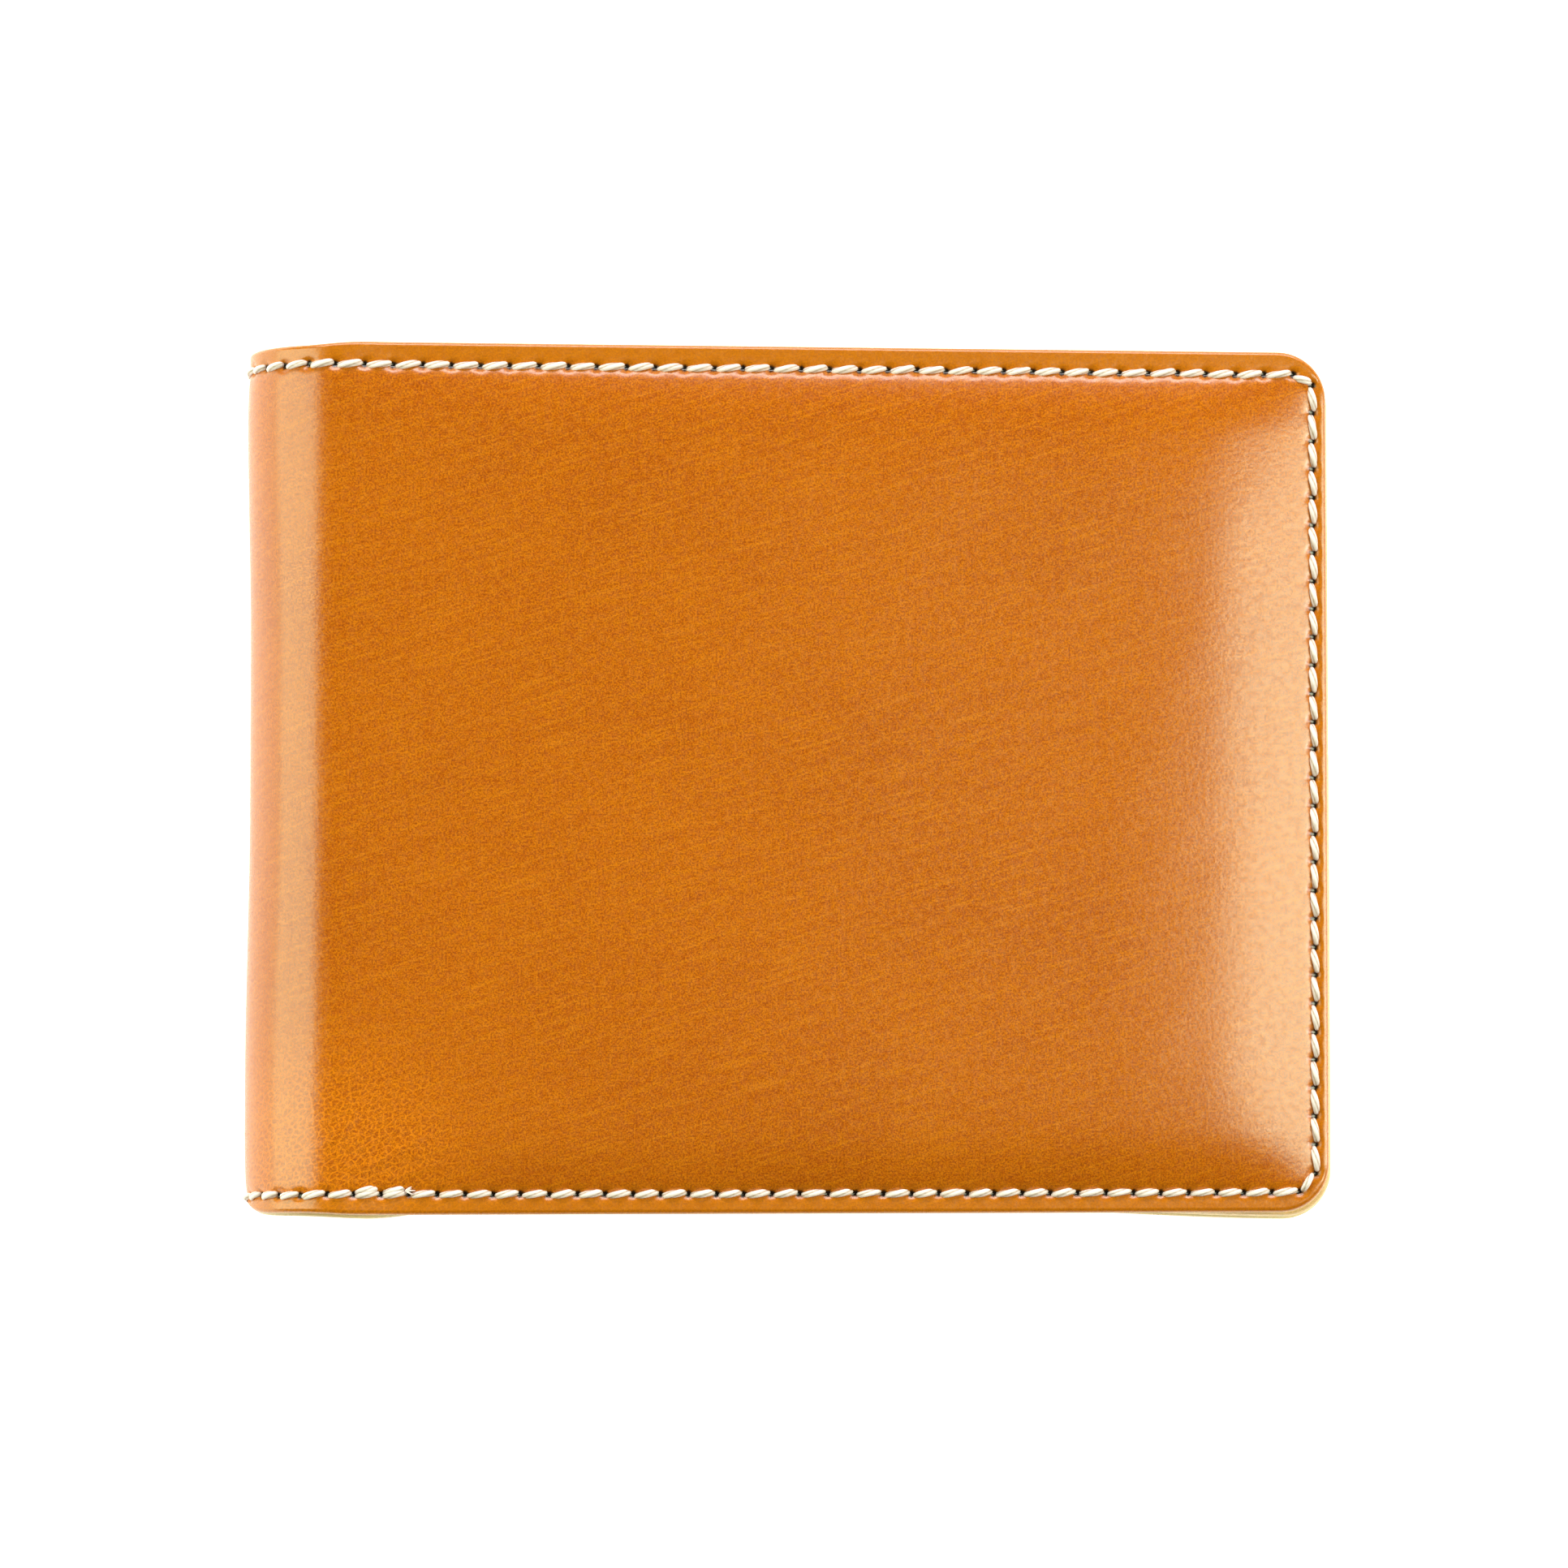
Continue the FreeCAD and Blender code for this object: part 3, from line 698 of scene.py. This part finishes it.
def make_lining(material):
    """The lining, in four parts that match the cover's."""
    inset = HALF_WIDTH - high_mm("back_lining")[1]
    for name, half, is_flat, bodies, nodes in COVER_PARTS:
        shape = Shape()
        low, high = part_range(half, is_flat)
        Sheet(
            half, (low, high - inset if is_flat else high), (inset - HALF_WIDTH, HALF_WIDTH - inset),
            partial(lining_depth, half), lining_hidden, (CORNER - inset,) * 4, (False, is_flat),
            edge=LINING_THICK / 2, step=0.6,
        ).add_to(shape)
        obj = shape.build(f"leather_lining_{name}", material)
        bend_part(obj, half, is_flat)
        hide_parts(*[node.replace("cover", "lining") for node in nodes])


# ---- The card pockets ----

LAYERS = ("pocket_wall", "card_pocket_1", "card_pocket_2", "card_pocket_3", "front_pocket")
STRIP_HEIGHT = 14.0
TONGUE_INSET = 4.0
TONGUE_ROUND = 3.0
# The pockets stop this far short of the cover's free edge.
POCKET_END_GAP = 0.2
POCKET_CORNER = 0.8
SHEET_THICK, CARD_THICK = 0.7, 0.6
# A line is pressed into each pocket this far in from its top edge and from its fold side.
PRESSED_TOP, PRESSED_SIDE, PRESSED_DEPTH = 1.5, 0.9, 0.16


def layer_top(layer):
    """How high across the wallet a pocket layer reaches."""
    return high_mm(f"back_{layer}")[1]


def layer_inside(layer):
    """The depth of a pocket layer's visible face."""
    return high_mm(f"back_{layer}")[2]


def stack_depth(x, y):
    """The depth of the innermost leather at a place."""
    depth = lining_level(np.asarray(x, float)) + 0 * y
    for layer in LAYERS:
        covered = (x > POCKET_MARGIN) & (y < layer_top(layer))
        depth = np.where(covered, layer_inside(layer), depth)
    return depth


def is_card(layer):
    """Whether a layer is one of the card pockets, which are strips with a tongue behind."""
    return layer.startswith("card")


def pocket_face(half, layer):
    """The visible face of a pocket layer: a slight swell, a pressed line along its top edge, its seams."""
    top, inside, end = layer_top(layer), layer_inside(layer), length_of(half)

    def face(x, y):
        line = np.exp(-(((y - top + PRESSED_TOP) / 0.22) ** 2))
        end_line = np.exp(-(((x - POCKET_MARGIN - PRESSED_SIDE) / 0.2) ** 2))
        pressed = np.maximum(line, end_line)
        depth = inside - PRESSED_DEPTH * pressed
        if is_card(layer):
            swelled = smooth(x, POCKET_MARGIN + 3, 30) * (1 - smooth(x, end - 30, end - 5))
            depth = depth + 0.03 * swelled * ripple(x, y, 30.0, len(layer) + int(top))
        near, hole = seam_pull(x, y, HOLES[half])
        near_pocket, hole_pocket = seam_pull(x, y, POCKET_HOLES[half])
        pull, hole = np.maximum(near, near_pocket), np.maximum(hole, hole_pocket)
        by_thread, by_needle = POCKET_PULL
        # Painted shade: the pressed line is also darkened, through the needle-hole mark, as shade in its
        # groove.
        return depth - by_thread * pull - by_needle * hole, np.maximum(hole, 0.42 * pressed)

    return face


def pocket_hidden(half, layer, low, outside):
    """The hidden face of a pocket layer, which reaches the leather below wherever it is sewn to it."""
    is_wall = layer == "pocket_wall"
    below = LINING_INSIDE if is_wall else layer_inside("pocket_wall")
    end = length_of(half) - POCKET_END_GAP

    def hidden(x, y):
        sewn = smooth(x, end - 3.8, end - 3.0)
        if not is_card(layer):
            sewn = np.maximum(sewn, 1 - smooth(y, low + 3.5, low + 4.7))
        if not is_wall:
            sewn = np.maximum(sewn, 1 - smooth(x, POCKET_MARGIN + 2.8, POCKET_MARGIN + 3.6))
        return outside - (outside - below) * sewn

    return hidden


def add_tongue(shape, half, layer, outside):
    """The narrower part of a card pocket that hangs behind the next one."""
    low = low_mm(f"back_{layer}")[1]
    strip = layer_top(layer) - STRIP_HEIGHT
    inside = layer_inside(layer)

    def shown(x, y):
        return inside + 0 * x, 0 * x

    def hidden(x, y):
        return outside + 0 * x

    ends = (POCKET_MARGIN + TONGUE_INSET, length_of(half) - TONGUE_INSET - POCKET_END_GAP)
    Sheet(
        half, ends, (low, strip + 0.3), shown, hidden,
        (TONGUE_ROUND, 0.4, TONGUE_ROUND, 0.4), (True, True), edge=0.25, step=2.5,
    ).add_to(shape)


def make_pocket(half, layer, material):
    """One pocket layer: a strip with its tongue, or a whole sheet."""
    shape = Shape()
    outside = layer_inside(layer) - (CARD_THICK if is_card(layer) else SHEET_THICK)
    top = layer_top(layer)
    low = top - STRIP_HEIGHT if is_card(layer) else low_mm(f"back_{layer}")[1]
    foot = 0.6 if is_card(layer) else CORNER - POCKET_END_GAP
    Sheet(
        half, (POCKET_MARGIN, length_of(half) - POCKET_END_GAP), (low, top),
        pocket_face(half, layer), pocket_hidden(half, layer, low, outside),
        (POCKET_CORNER, POCKET_CORNER, foot, POCKET_CORNER), (True, True), edge=0.3, step=0.5,
    ).add_to(shape)
    if is_card(layer):
        add_tongue(shape, half, layer, outside)
    obj = shape.build(f"leather_{half}_{layer}", material)
    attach(obj, f"{half}_half")
    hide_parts(f"{half}_{layer}")


def make_pockets(material):
    """The pockets of both halves, and the wall behind them."""
    for half in (BACK, FRONT):
        for layer in LAYERS:
            make_pocket(half, layer, material)


# ---- The stitches ----

OUTSIDE, INSIDE = -1, 1
PLIES = 3
# Along the thread, the next ply follows after this length.
PLY_TURN = 2.6
# Shares of the thread's radius: in a groove between plies, and what a ply adds to it.
GROOVE_RADIUS, PLY_RISE = 0.80, 0.24
# Points round a thread and along it, outside where it shows and inside where it hardly does.
TUBE_POINTS = {OUTSIDE: (16, 19), INSIDE: (10, 11)}
# A stitch starts and ends this far inside its two needle holes.
HOLE_GAP = 0.40
# The two stitches that fasten the thread's end lie between these distances from the fold.
BACK_TACK = (0.0, 2 * BOTTOM_PITCH)
BACK_TACK_ASIDE = -0.42
LOOSE_PLIES = 4
EDGE_SEAM_SEED, POCKET_SEAM_SEED = 20, 31


def add_tube(shape, half, path, radii, depth_side, twist, around):
    """Adds a twisted thread along plan points (x, y, depth)."""
    path = np.array(path)
    centre = place(along_of(half, path[:, 0]), path[:, 1], path[:, 2])
    lifted = place(along_of(half, path[:, 0]), path[:, 1], path[:, 2] + depth_side * 0.1)
    forward = np.gradient(centre, axis=0)
    forward /= np.linalg.norm(forward, axis=1)[:, None]
    up = lifted - centre
    up -= (up * forward).sum(axis=1)[:, None] * forward
    up /= np.linalg.norm(up, axis=1)[:, None]
    side = np.cross(forward, up)
    length = np.concatenate([[0], np.cumsum(np.linalg.norm(np.diff(centre, axis=0), axis=1))]) / MM
    first = len(shape.points)
    for k in range(len(path)):
        for n in range(around):
            angle = 2 * math.pi * n / around
            ply = PLIES * (angle - twist - 2 * math.pi * length[k] / (PLIES * PLY_TURN))
            groove = abs(math.cos(ply / 2))
            radius = radii[k] * (GROOVE_RADIUS + PLY_RISE * groove**0.7)
            offset = radius * (math.cos(angle) * side[k] + math.sin(angle) * up[k])
            shape.points.append(tuple(centre[k] + offset * MM))
            shape.plan.append((length[k] * MM, radii[k] * angle * MM))
            # The groove between plies goes into the hole mark, which the thread's material darkens as
            # painted shade.
            shape.marks.append((1 - groove, 0.0, 0.0))
    for k in range(len(path) - 1):
        for n in range(around):
            a, b = first + k * around + n, first + k * around + (n + 1) % around
            shape.faces.append((a, b, b + around, a + around))
    shape.faces.append(tuple(range(first + around - 1, first - 1, -1)))
    shape.faces.append(tuple(range(first + (len(path) - 1) * around, first + len(path) * around)))


def add_stitch(shape, half, start, end, surface, depth_side, random, aside=0.0):
    """Adds one stitch between two needle holes. It leaves the first hole low and enters the next high."""
    around, count = TUBE_POINTS[depth_side]
    step = end - start
    span = np.linalg.norm(step)
    forward, left = step / span, np.array([-step[1], step[0]]) / span
    if half == BACK:
        left = -left
    slant = SLANT * random.uniform(0.8, 1.2)
    thick = THREAD / 2 * random.uniform(0.94, 1.06)
    path, radii = [], []
    for t in np.linspace(0, 1, count):
        ahead = forward * (HOLE_GAP + t * (span - 2 * HOLE_GAP))
        spot = start + ahead + left * (slant * (2 * t - 1) + aside)
        arch = math.sin(math.pi * (0.02 + 0.96 * t)) ** 0.5
        level = float(surface(spot[0], spot[1]))
        path.append((spot[0], spot[1], level + depth_side * (0.75 * arch - 0.55) * thick / 0.4))
        radii.append(thick * (0.74 + 0.26 * arch))
    add_tube(shape, half, path, radii, depth_side, random.uniform(0, 2 * math.pi), around)


def seam_level(x, y):
    """The outer leather's depth along a seam, without the dips at each hole."""
    return rim_level(x) + 0.10


def belongs(half, is_flat, x):
    """Whether a place is in a part of the cover."""
    low, high = part_range(half, is_flat)
    return low <= x < high + 0.01


def make_edge_seams(material):
    """The stitches round the cover's edge, outside and inside, in parts that match the cover's."""
    for name, half, is_flat, bodies, nodes in COVER_PARTS:
        shape, random = Shape(), np.random.default_rng(EDGE_SEAM_SEED + len(name))
        holes = HOLES[half]
        for start, end in pairs(holes):
            if not belongs(half, is_flat, (start[0] + end[0]) / 2):
                continue
            add_stitch(shape, half, start, end, seam_level, OUTSIDE, random)
            add_stitch(shape, half, start, end, stack_depth, INSIDE, random)
            if half == FRONT and is_flat and is_back_tack(start, end):
                add_stitch(shape, half, start, end, seam_level, OUTSIDE, random, BACK_TACK_ASIDE)
        if half == FRONT and is_flat:
            add_frayed_end(shape, random)
        obj = shape.build(f"thread_{name}", material, placed=True)
        bend_part(obj, half, is_flat)
        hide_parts(*[thread_node(node) for node in nodes])


def thread_node(cover_node):
    """The CAD node of the stitches that hold a node of the cover."""
    stitches = "stitches" if cover_node.startswith("spine") else "edge_stitches"
    return cover_node.replace("cover", stitches)


def is_back_tack(start, end):
    """Whether a stitch is one of the two that fasten the thread's end, low beside the fold."""
    middle = (start + end) / 2
    return middle[1] < 0 and BACK_TACK[0] < middle[0] < BACK_TACK[1]


def add_frayed_end(shape, random):
    """The cut thread end that stands out beside the back-tack, in a few loose plies."""
    holes = HOLES[FRONT]
    tack_x, tack_y = next(start for start, end in pairs(holes) if is_back_tack(start, end))
    for ply in range(LOOSE_PLIES):
        heading = math.radians(-30 + 28 * ply + random.uniform(-8, 8))
        length = random.uniform(0.6, 1.0)
        path, radii = [], []
        for t in np.linspace(0, 1, 8):
            x = tack_x - 0.3 + t * length * math.cos(heading)
            y = tack_y + 0.3 + t * length * math.sin(heading) * (1 - 0.3 * t)
            path.append((x, y, seam_level(x, y) - 0.22 - 0.15 * math.sin(math.pi * t)))
            radii.append(0.13 * (1 - 0.6 * t))
        add_tube(shape, FRONT, path, radii, OUTSIDE, random.uniform(0, 6), 8)


def wall_depth(x, y):
    """The depth of the pocket wall's hidden face."""
    return layer_inside("pocket_wall") - SHEET_THICK


def make_pocket_seams(material):
    """The stitches that hold the card pockets beside the fold."""
    for half in (BACK, FRONT):
        shape, random = Shape(), np.random.default_rng(POCKET_SEAM_SEED)
        holes = POCKET_HOLES[half]
        for start, end in pairs(holes):
            add_stitch(shape, half, start, end, stack_depth, INSIDE, random)
            add_stitch(shape, half, start, end, wall_depth, OUTSIDE, random)
        obj = shape.build(f"thread_{half}_pockets", material, placed=True)
        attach(obj, f"{half}_half")
        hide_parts(f"{half}_pocket_stitches")


# ---- Materials ----

class Look:
    """A material's nodes, with short ways to add them."""

    def __init__(self, name):
        self.material = bpy.data.materials.new(name)
        self.material.use_nodes = True
        self.tree = self.material.node_tree
        self.shader = self.tree.nodes["Principled BSDF"]

    def node(self, kind, sockets, **settings):
        """Adds a node with the given sockets and settings."""
        node = self.tree.nodes.new(kind)
        for name, value in settings.items():
            setattr(node, name, value)
        for name, value in sockets.items():
            self.feed(node.inputs[name], value)
        return node

    def feed(self, socket, value):
        """Sets a socket, or links another node's output to it."""
        if isinstance(value, bpy.types.NodeSocket):
            self.tree.links.new(value, socket)
        else:
            socket.default_value = value

    def plan(self, turn=0.0, stretch=(1.0, 1.0)):
        """The flat plan's place in millimetres, turned and stretched."""
        uv = self.node("ShaderNodeUVMap", {}, uv_map="Plan").outputs["UV"]
        size = (MM * stretch[0], MM * stretch[1], 1)
        sockets = {"Vector": uv, "Rotation": (0, 0, turn), "Scale": size}
        return self.node("ShaderNodeMapping", sockets, vector_type="TEXTURE").outputs["Vector"]

    def noise(self, vector, scale, detail=3.0, roughness=0.55):
        """Noise between 0 and 1 on the plan."""
        sockets = {"Vector": vector, "Scale": scale, "Detail": detail, "Roughness": roughness}
        return self.node("ShaderNodeTexNoise", sockets, noise_dimensions="2D").outputs["Fac"]

    def solid_noise(self, scale, detail=2.0):
        """Noise between 0 and 1 that fills the object's own space, for pieces without a plan."""
        inside = self.node("ShaderNodeTexCoord", {}).outputs["Object"]
        sockets = {"Vector": inside, "Scale": scale, "Detail": detail}
        return self.node("ShaderNodeTexNoise", sockets, noise_dimensions="3D").outputs["Fac"]

    def cells(self, vector, scale, feature):
        """How far each place is from a scattered set of points, or from the lines between them."""
        sockets = {"Vector": vector, "Scale": scale}
        node = self.node("ShaderNodeTexVoronoi", sockets, voronoi_dimensions="2D", feature=feature)
        return node.outputs["Distance"]

    def distance(self, vector, spot):
        """How far each place of the plan is from one spot, in millimetres."""
        sockets = {0: vector, 1: (*spot, 0.0)}
        return self.node("ShaderNodeVectorMath", sockets, operation="DISTANCE").outputs["Value"]

    def mark(self, name):
        """A value that the mesh carries at each point."""
        return self.node("ShaderNodeAttribute", {}, attribute_name=name).outputs["Fac"]

    def stretch(self, value, low, high, new_low=0.0, new_high=1.0):
        """Maps one range to another, with a soft start and end."""
        sockets = {0: value, 1: low, 2: high, 3: new_low, 4: new_high}
        return self.node("ShaderNodeMapRange", sockets, interpolation_type="SMOOTHSTEP").outputs[0]

    def plus(self, first, second):
        """The sum of two values."""
        return self.node("ShaderNodeMath", {0: first, 1: second}, operation="ADD").outputs[0]

    def times(self, first, second):
        """The product of two values."""
        return self.node("ShaderNodeMath", {0: first, 1: second}, operation="MULTIPLY").outputs[0]

    def mix(self, factor, first, second):
        """A mix of two colours."""
        sockets = {"Factor": factor, 6: first, 7: second}
        return self.node("ShaderNodeMix", sockets, data_type="RGBA").outputs[2]

    def bump(self, height, distance):
        """A bump of the given height in metres."""
        sockets = {"Strength": 1.0, "Distance": distance, "Height": height}
        return self.node("ShaderNodeBump", sockets).outputs["Normal"]

    def finish(self, colour, roughness, normal, **settings):
        """Links the shader's main inputs."""
        self.feed(self.shader.inputs["Base Color"], colour)
        self.feed(self.shader.inputs["Roughness"], roughness)
        self.feed(self.shader.inputs["Normal"], normal)
        for name, value in settings.items():
            self.shader.inputs[name].default_value = value
        return self.material


def tint(red, green, blue):
    """A colour given as it looks on screen (0 to 255), as the renderer wants it."""
    def linear(value):
        value = value / 255
        return value / 12.92 if value <= 0.04045 else ((value + 0.055) / 1.055) ** 2.4
    return linear(red), linear(green), linear(blue), 1.0


# Where the fold's lower end is handled most, on the plan, and how far the wrinkles reach round it.
WORN_CORNER = (FOLD_LENGTH - 1.0, -41.0)
WORN_REACH = 19.0
# The plan's directions in which the leather was brushed and in which its wrinkles are long.
BRUSHED = math.radians(17)
WRINKLED = math.radians(34)
GRAIN_SCALE = 1.9
# Painted shade: the near-black colour put into each needle hole, where the leather only dips.
HOLE_SHADE_COLOUR = (0.012, 0.004, 0.001, 1)


def leather(name, base, deep, light, edge, border, gloss):
    """Vegetable-tanned leather: cloudy colour, fine grain, brushed streaks, wrinkles at the worn
    corner, a pale burnished cut edge that also carries a painted highlight, and painted shade
    in the needle holes and pressed lines."""
    look = Look(name)
    grain_dark = tuple(0.42 * value for value in deep[:3]) + (1.0,)
    wrinkle_light = tuple(1.6 * value for value in light[:3]) + (1.0,)
    spot = look.plan()
    cloud = look.noise(spot, 0.04, 2.0)
    mottle = look.noise(spot, 0.9, 4.0, 0.7)
    streak = look.noise(look.plan(BRUSHED, (14.0, 1.0)), 0.9, 3.0)
    grain = look.cells(spot, GRAIN_SCALE, "SMOOTH_F1")
    pore = look.noise(spot, 3.4, 3.0, 0.6)
    speck = look.noise(spot, 5.2, 3.0, 0.75)
    crackle = look.cells(look.plan(WRINKLED, (1.7, 1.0)), GRAIN_SCALE, "DISTANCE_TO_EDGE")
    worn = look.stretch(look.distance(spot, WORN_CORNER), WORN_REACH, 0.25 * WORN_REACH)
    scratch = look.noise(look.plan(BRUSHED, (26.0, 1.0)), 3.2, 2.0)
    colour = base
    for pattern, low, high, amount, tone in (
        (cloud, 0.35, 0.72, 0.45, deep),
        (mottle, 0.35, 0.70, 0.60, light),
        (streak, 0.52, 0.78, 0.28, deep),
        (grain, 0.55, 0.15, 0.30, deep),
        (pore, 0.50, 0.70, 0.65, light),
        (scratch, 0.52, 0.74, 0.75, light),
    ):
        colour = look.mix(look.stretch(pattern, low, high, 0.0, amount), colour, tone)
    wrinkle = look.times(look.stretch(crackle, 0.24, 0.0, 0.0, 0.60), worn)
    colour = look.mix(wrinkle, colour, wrinkle_light)
    colour = look.mix(look.stretch(speck, 0.44, 0.62, 0.0, 0.56), colour, grain_dark)
    colour = look.mix(look.stretch(speck, 0.48, 0.34, 0.0, 0.56), colour, light)
    # For the cover and lining the border colour is a tone of the leather. For the pockets it is pale,
    # partly edge paint and partly a painted highlight.
    colour = look.mix(look.times(look.mark("border"), 0.5), colour, border)
    # The pale edge colour on the rounded cut edge is partly burnished leather and partly a painted
    # highlight from the side light.
    colour = look.mix(look.times(look.mark("edge"), 0.75), colour, edge)
    # Painted shade: darkens the leather at each needle hole, and along the pockets' pressed lines.
    colour = look.mix(look.stretch(look.mark("hole"), 0.25, 0.7), colour, HOLE_SHADE_COLOUR)
    height = look.plus(look.times(grain, 0.7), look.times(pore, 0.6))
    height = look.plus(height, look.times(streak, 0.5))
    normal = look.bump(height, 0.000011)
    roughness = look.stretch(look.noise(spot, 1.3, 3.0), 0.3, 0.7, gloss - 0.02, gloss + 0.05)
    return look.finish(colour, roughness, normal, **{"Specular IOR Level": 0.7})


def thread_look():
    """Waxed linen thread: cream plies with soiled patches, and painted shade in the grooves between the
    plies.
    """
    look = Look("waxed_linen_thread")
    spot = look.plan()
    fibre = look.noise(look.plan(stretch=(2.5, 0.35)), 1.6, 3.0)
    soil = look.noise(spot, 0.6, 2.0)
    colour = look.mix(look.stretch(fibre, 0.3, 0.7), tint(248, 234, 238), tint(230, 212, 210))
    colour = look.mix(look.stretch(soil, 0.45, 0.8, 0.0, 0.35), colour, tint(205, 182, 156))
    # Painted shade: the grooves between the plies are darkened.
    colour = look.mix(look.stretch(look.mark("hole"), 0.35, 1.0, 0.0, 0.75), colour, tint(150, 112, 70))
    return look.finish(colour, 0.55, look.bump(fibre, 0.00004))


def board_look():
    """Grey-brown pulp board that stiffens each half."""
    look = Look("pulp_board")
    fleck = look.solid_noise(900, 4)
    colour = look.mix(look.stretch(fleck, 0.35, 0.7), tint(172, 158, 138), tint(128, 112, 92))
    return look.finish(colour, 0.85, look.bump(fleck, 0.00006))


def make_materials():
    """Every material, by slot."""
    # Each leather's fourth colour, for its rounded cut edge, is partly burnished leather and partly a
    # painted highlight.
    return {
        "cover_leather": leather(
            "cover_leather_tan", tint(194, 98, 3), tint(168, 75, 1), tint(210, 118, 7),
            tint(252, 232, 170), tint(192, 113, 8), 0.235,
        ),
        # The pockets' pale border colour is partly edge paint and partly a painted highlight on the strip
        # by the free side.
        "pocket_leather": leather(
            "pocket_leather_tan", tint(212, 140, 84), tint(188, 112, 58), tint(224, 160, 106),
            tint(250, 226, 160), tint(250, 222, 160), 0.45,
        ),
        "lining_leather": leather(
            "lining_leather_natural", tint(216, 162, 112), tint(196, 138, 88), tint(226, 180, 134),
            tint(248, 226, 176), tint(214, 164, 112), 0.52,
        ),
        "thread": thread_look(),
        "board": board_look(),
    }


# ---- The photographer's table ----

WHITE = (1, 1, 1)
TABLE_REACH = 6.0
FLOOR_GLOW = 0.8
STUDIO_LIGHT = 0.03
# Each softbox's place, its width and height (metres), its power (watts) and its colour.
SOFTBOXES = {
    "softbox_left": ((-0.75, 0.05, 0.44), (0.70, 0.9), 9.0, (0.88, 1.0, 0.70)),
    "softbox_right": ((0.64, 0.03, 0.665), (0.32, 0.8), 7.1, (0.93, 1.0, 0.69)),
    "softbox_far": ((0.0, 0.85, 0.45), (1.0, 0.3), 8.0, WHITE),
    "softbox_rim": ((0.85, 0.0, 0.10), (0.12, 0.9), 3.0, WHITE),
}
MIDDLE = (Vector(CAD_BOX[0]) + Vector(CAD_BOX[1])) / 2
CAMERA_DISTANCE = 0.87
CAMERA_TILT = math.radians(4.1)
VIEW_WIDTH = 0.1604
# The camera aims beside the wallet's middle by this much, in millimetres.
AIM_ASIDE, AIM_DOWN = -0.62, -0.55
# It aims above the middle by this share of the wallet's height.
AIM_RISE = 0.3


def make_floor():
    """A plain pale table."""
    look = Look("table_white")
    grain = look.solid_noise(40)
    colour = look.mix(grain, (0.93, 0.93, 0.93, 1), (0.95, 0.95, 0.95, 1))
    look.finish(colour, 0.9, look.bump(grain, 0.00002))
    look.shader.inputs["Emission Color"].default_value = (1, 1, 1, 1)
    look.shader.inputs["Emission Strength"].default_value = FLOOR_GLOW
    mesh = bpy.data.meshes.new("table")
    signs = ((-1, -1), (1, -1), (1, 1), (-1, 1))
    corners = [(TABLE_REACH * across, TABLE_REACH * up, 0) for across, up in signs]
    mesh.from_pydata(corners, [], [(0, 1, 2, 3)])
    mesh.materials.append(look.material)
    floor_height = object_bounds()[0][2]
    table = new_object("table", mesh)
    table.location.z = floor_height


def make_light(name, place_at, aim_at, size, power, colour):
    """A soft rectangular light that faces a point."""
    data = bpy.data.lights.new(name, "AREA")
    data.shape = "RECTANGLE"
    data.size, data.size_y = size
    data.energy = power
    data.color = colour
    light = new_object(name, data)
    light.location = place_at
    light.rotation_euler = (aim_at - Vector(place_at)).to_track_quat("-Z", "Y").to_euler()


def make_lights():
    """A wide softbox on the left, a higher narrow one on the right, one behind the wallet's top edge
    and a low weak one along its right edge, in a dim studio."""
    for name, (place_at, size, power, colour) in SOFTBOXES.items():
        make_light(name, place_at, MIDDLE, size, power, colour)
    world = bpy.data.worlds.new("studio")
    world.use_nodes = True
    world.node_tree.nodes["Background"].inputs["Color"].default_value = (*WHITE, 1)
    world.node_tree.nodes["Background"].inputs["Strength"].default_value = STUDIO_LIGHT
    bpy.context.scene.world = world


def make_camera():
    """A long lens above the wallet, leaning a little towards its lower edge."""
    data = bpy.data.cameras.new("camera")
    data.sensor_width = 36.0
    data.lens = data.sensor_width * CAMERA_DISTANCE / VIEW_WIDTH
    data.clip_end = 20
    camera = new_object("camera", data)
    height = (CAD_BOX[1][2] - CAD_BOX[0][2]) / MM
    aim = MIDDLE + Vector((AIM_ASIDE, AIM_DOWN, AIM_RISE * height)) * MM
    look_from = Vector((0, -math.sin(CAMERA_TILT), math.cos(CAMERA_TILT)))
    camera.location = aim + look_from * CAMERA_DISTANCE
    camera.rotation_euler = (-look_from).to_track_quat("-Z", "Y").to_euler()
    bpy.context.scene.camera = camera


materials = make_materials()
make_cover(materials["cover_leather"])
make_lining(materials["lining_leather"])
make_pockets(materials["pocket_leather"])
make_edge_seams(materials["thread"])
make_pocket_seams(materials["thread"])
for half in (BACK, FRONT):
    board = frame["nodes"][f"{half}_stiffener"]
    board.data.materials.clear()
    board.data.materials.append(materials["board"])
make_floor()
make_lights()
make_camera()
bpy.context.scene.view_settings.view_transform = "Standard"
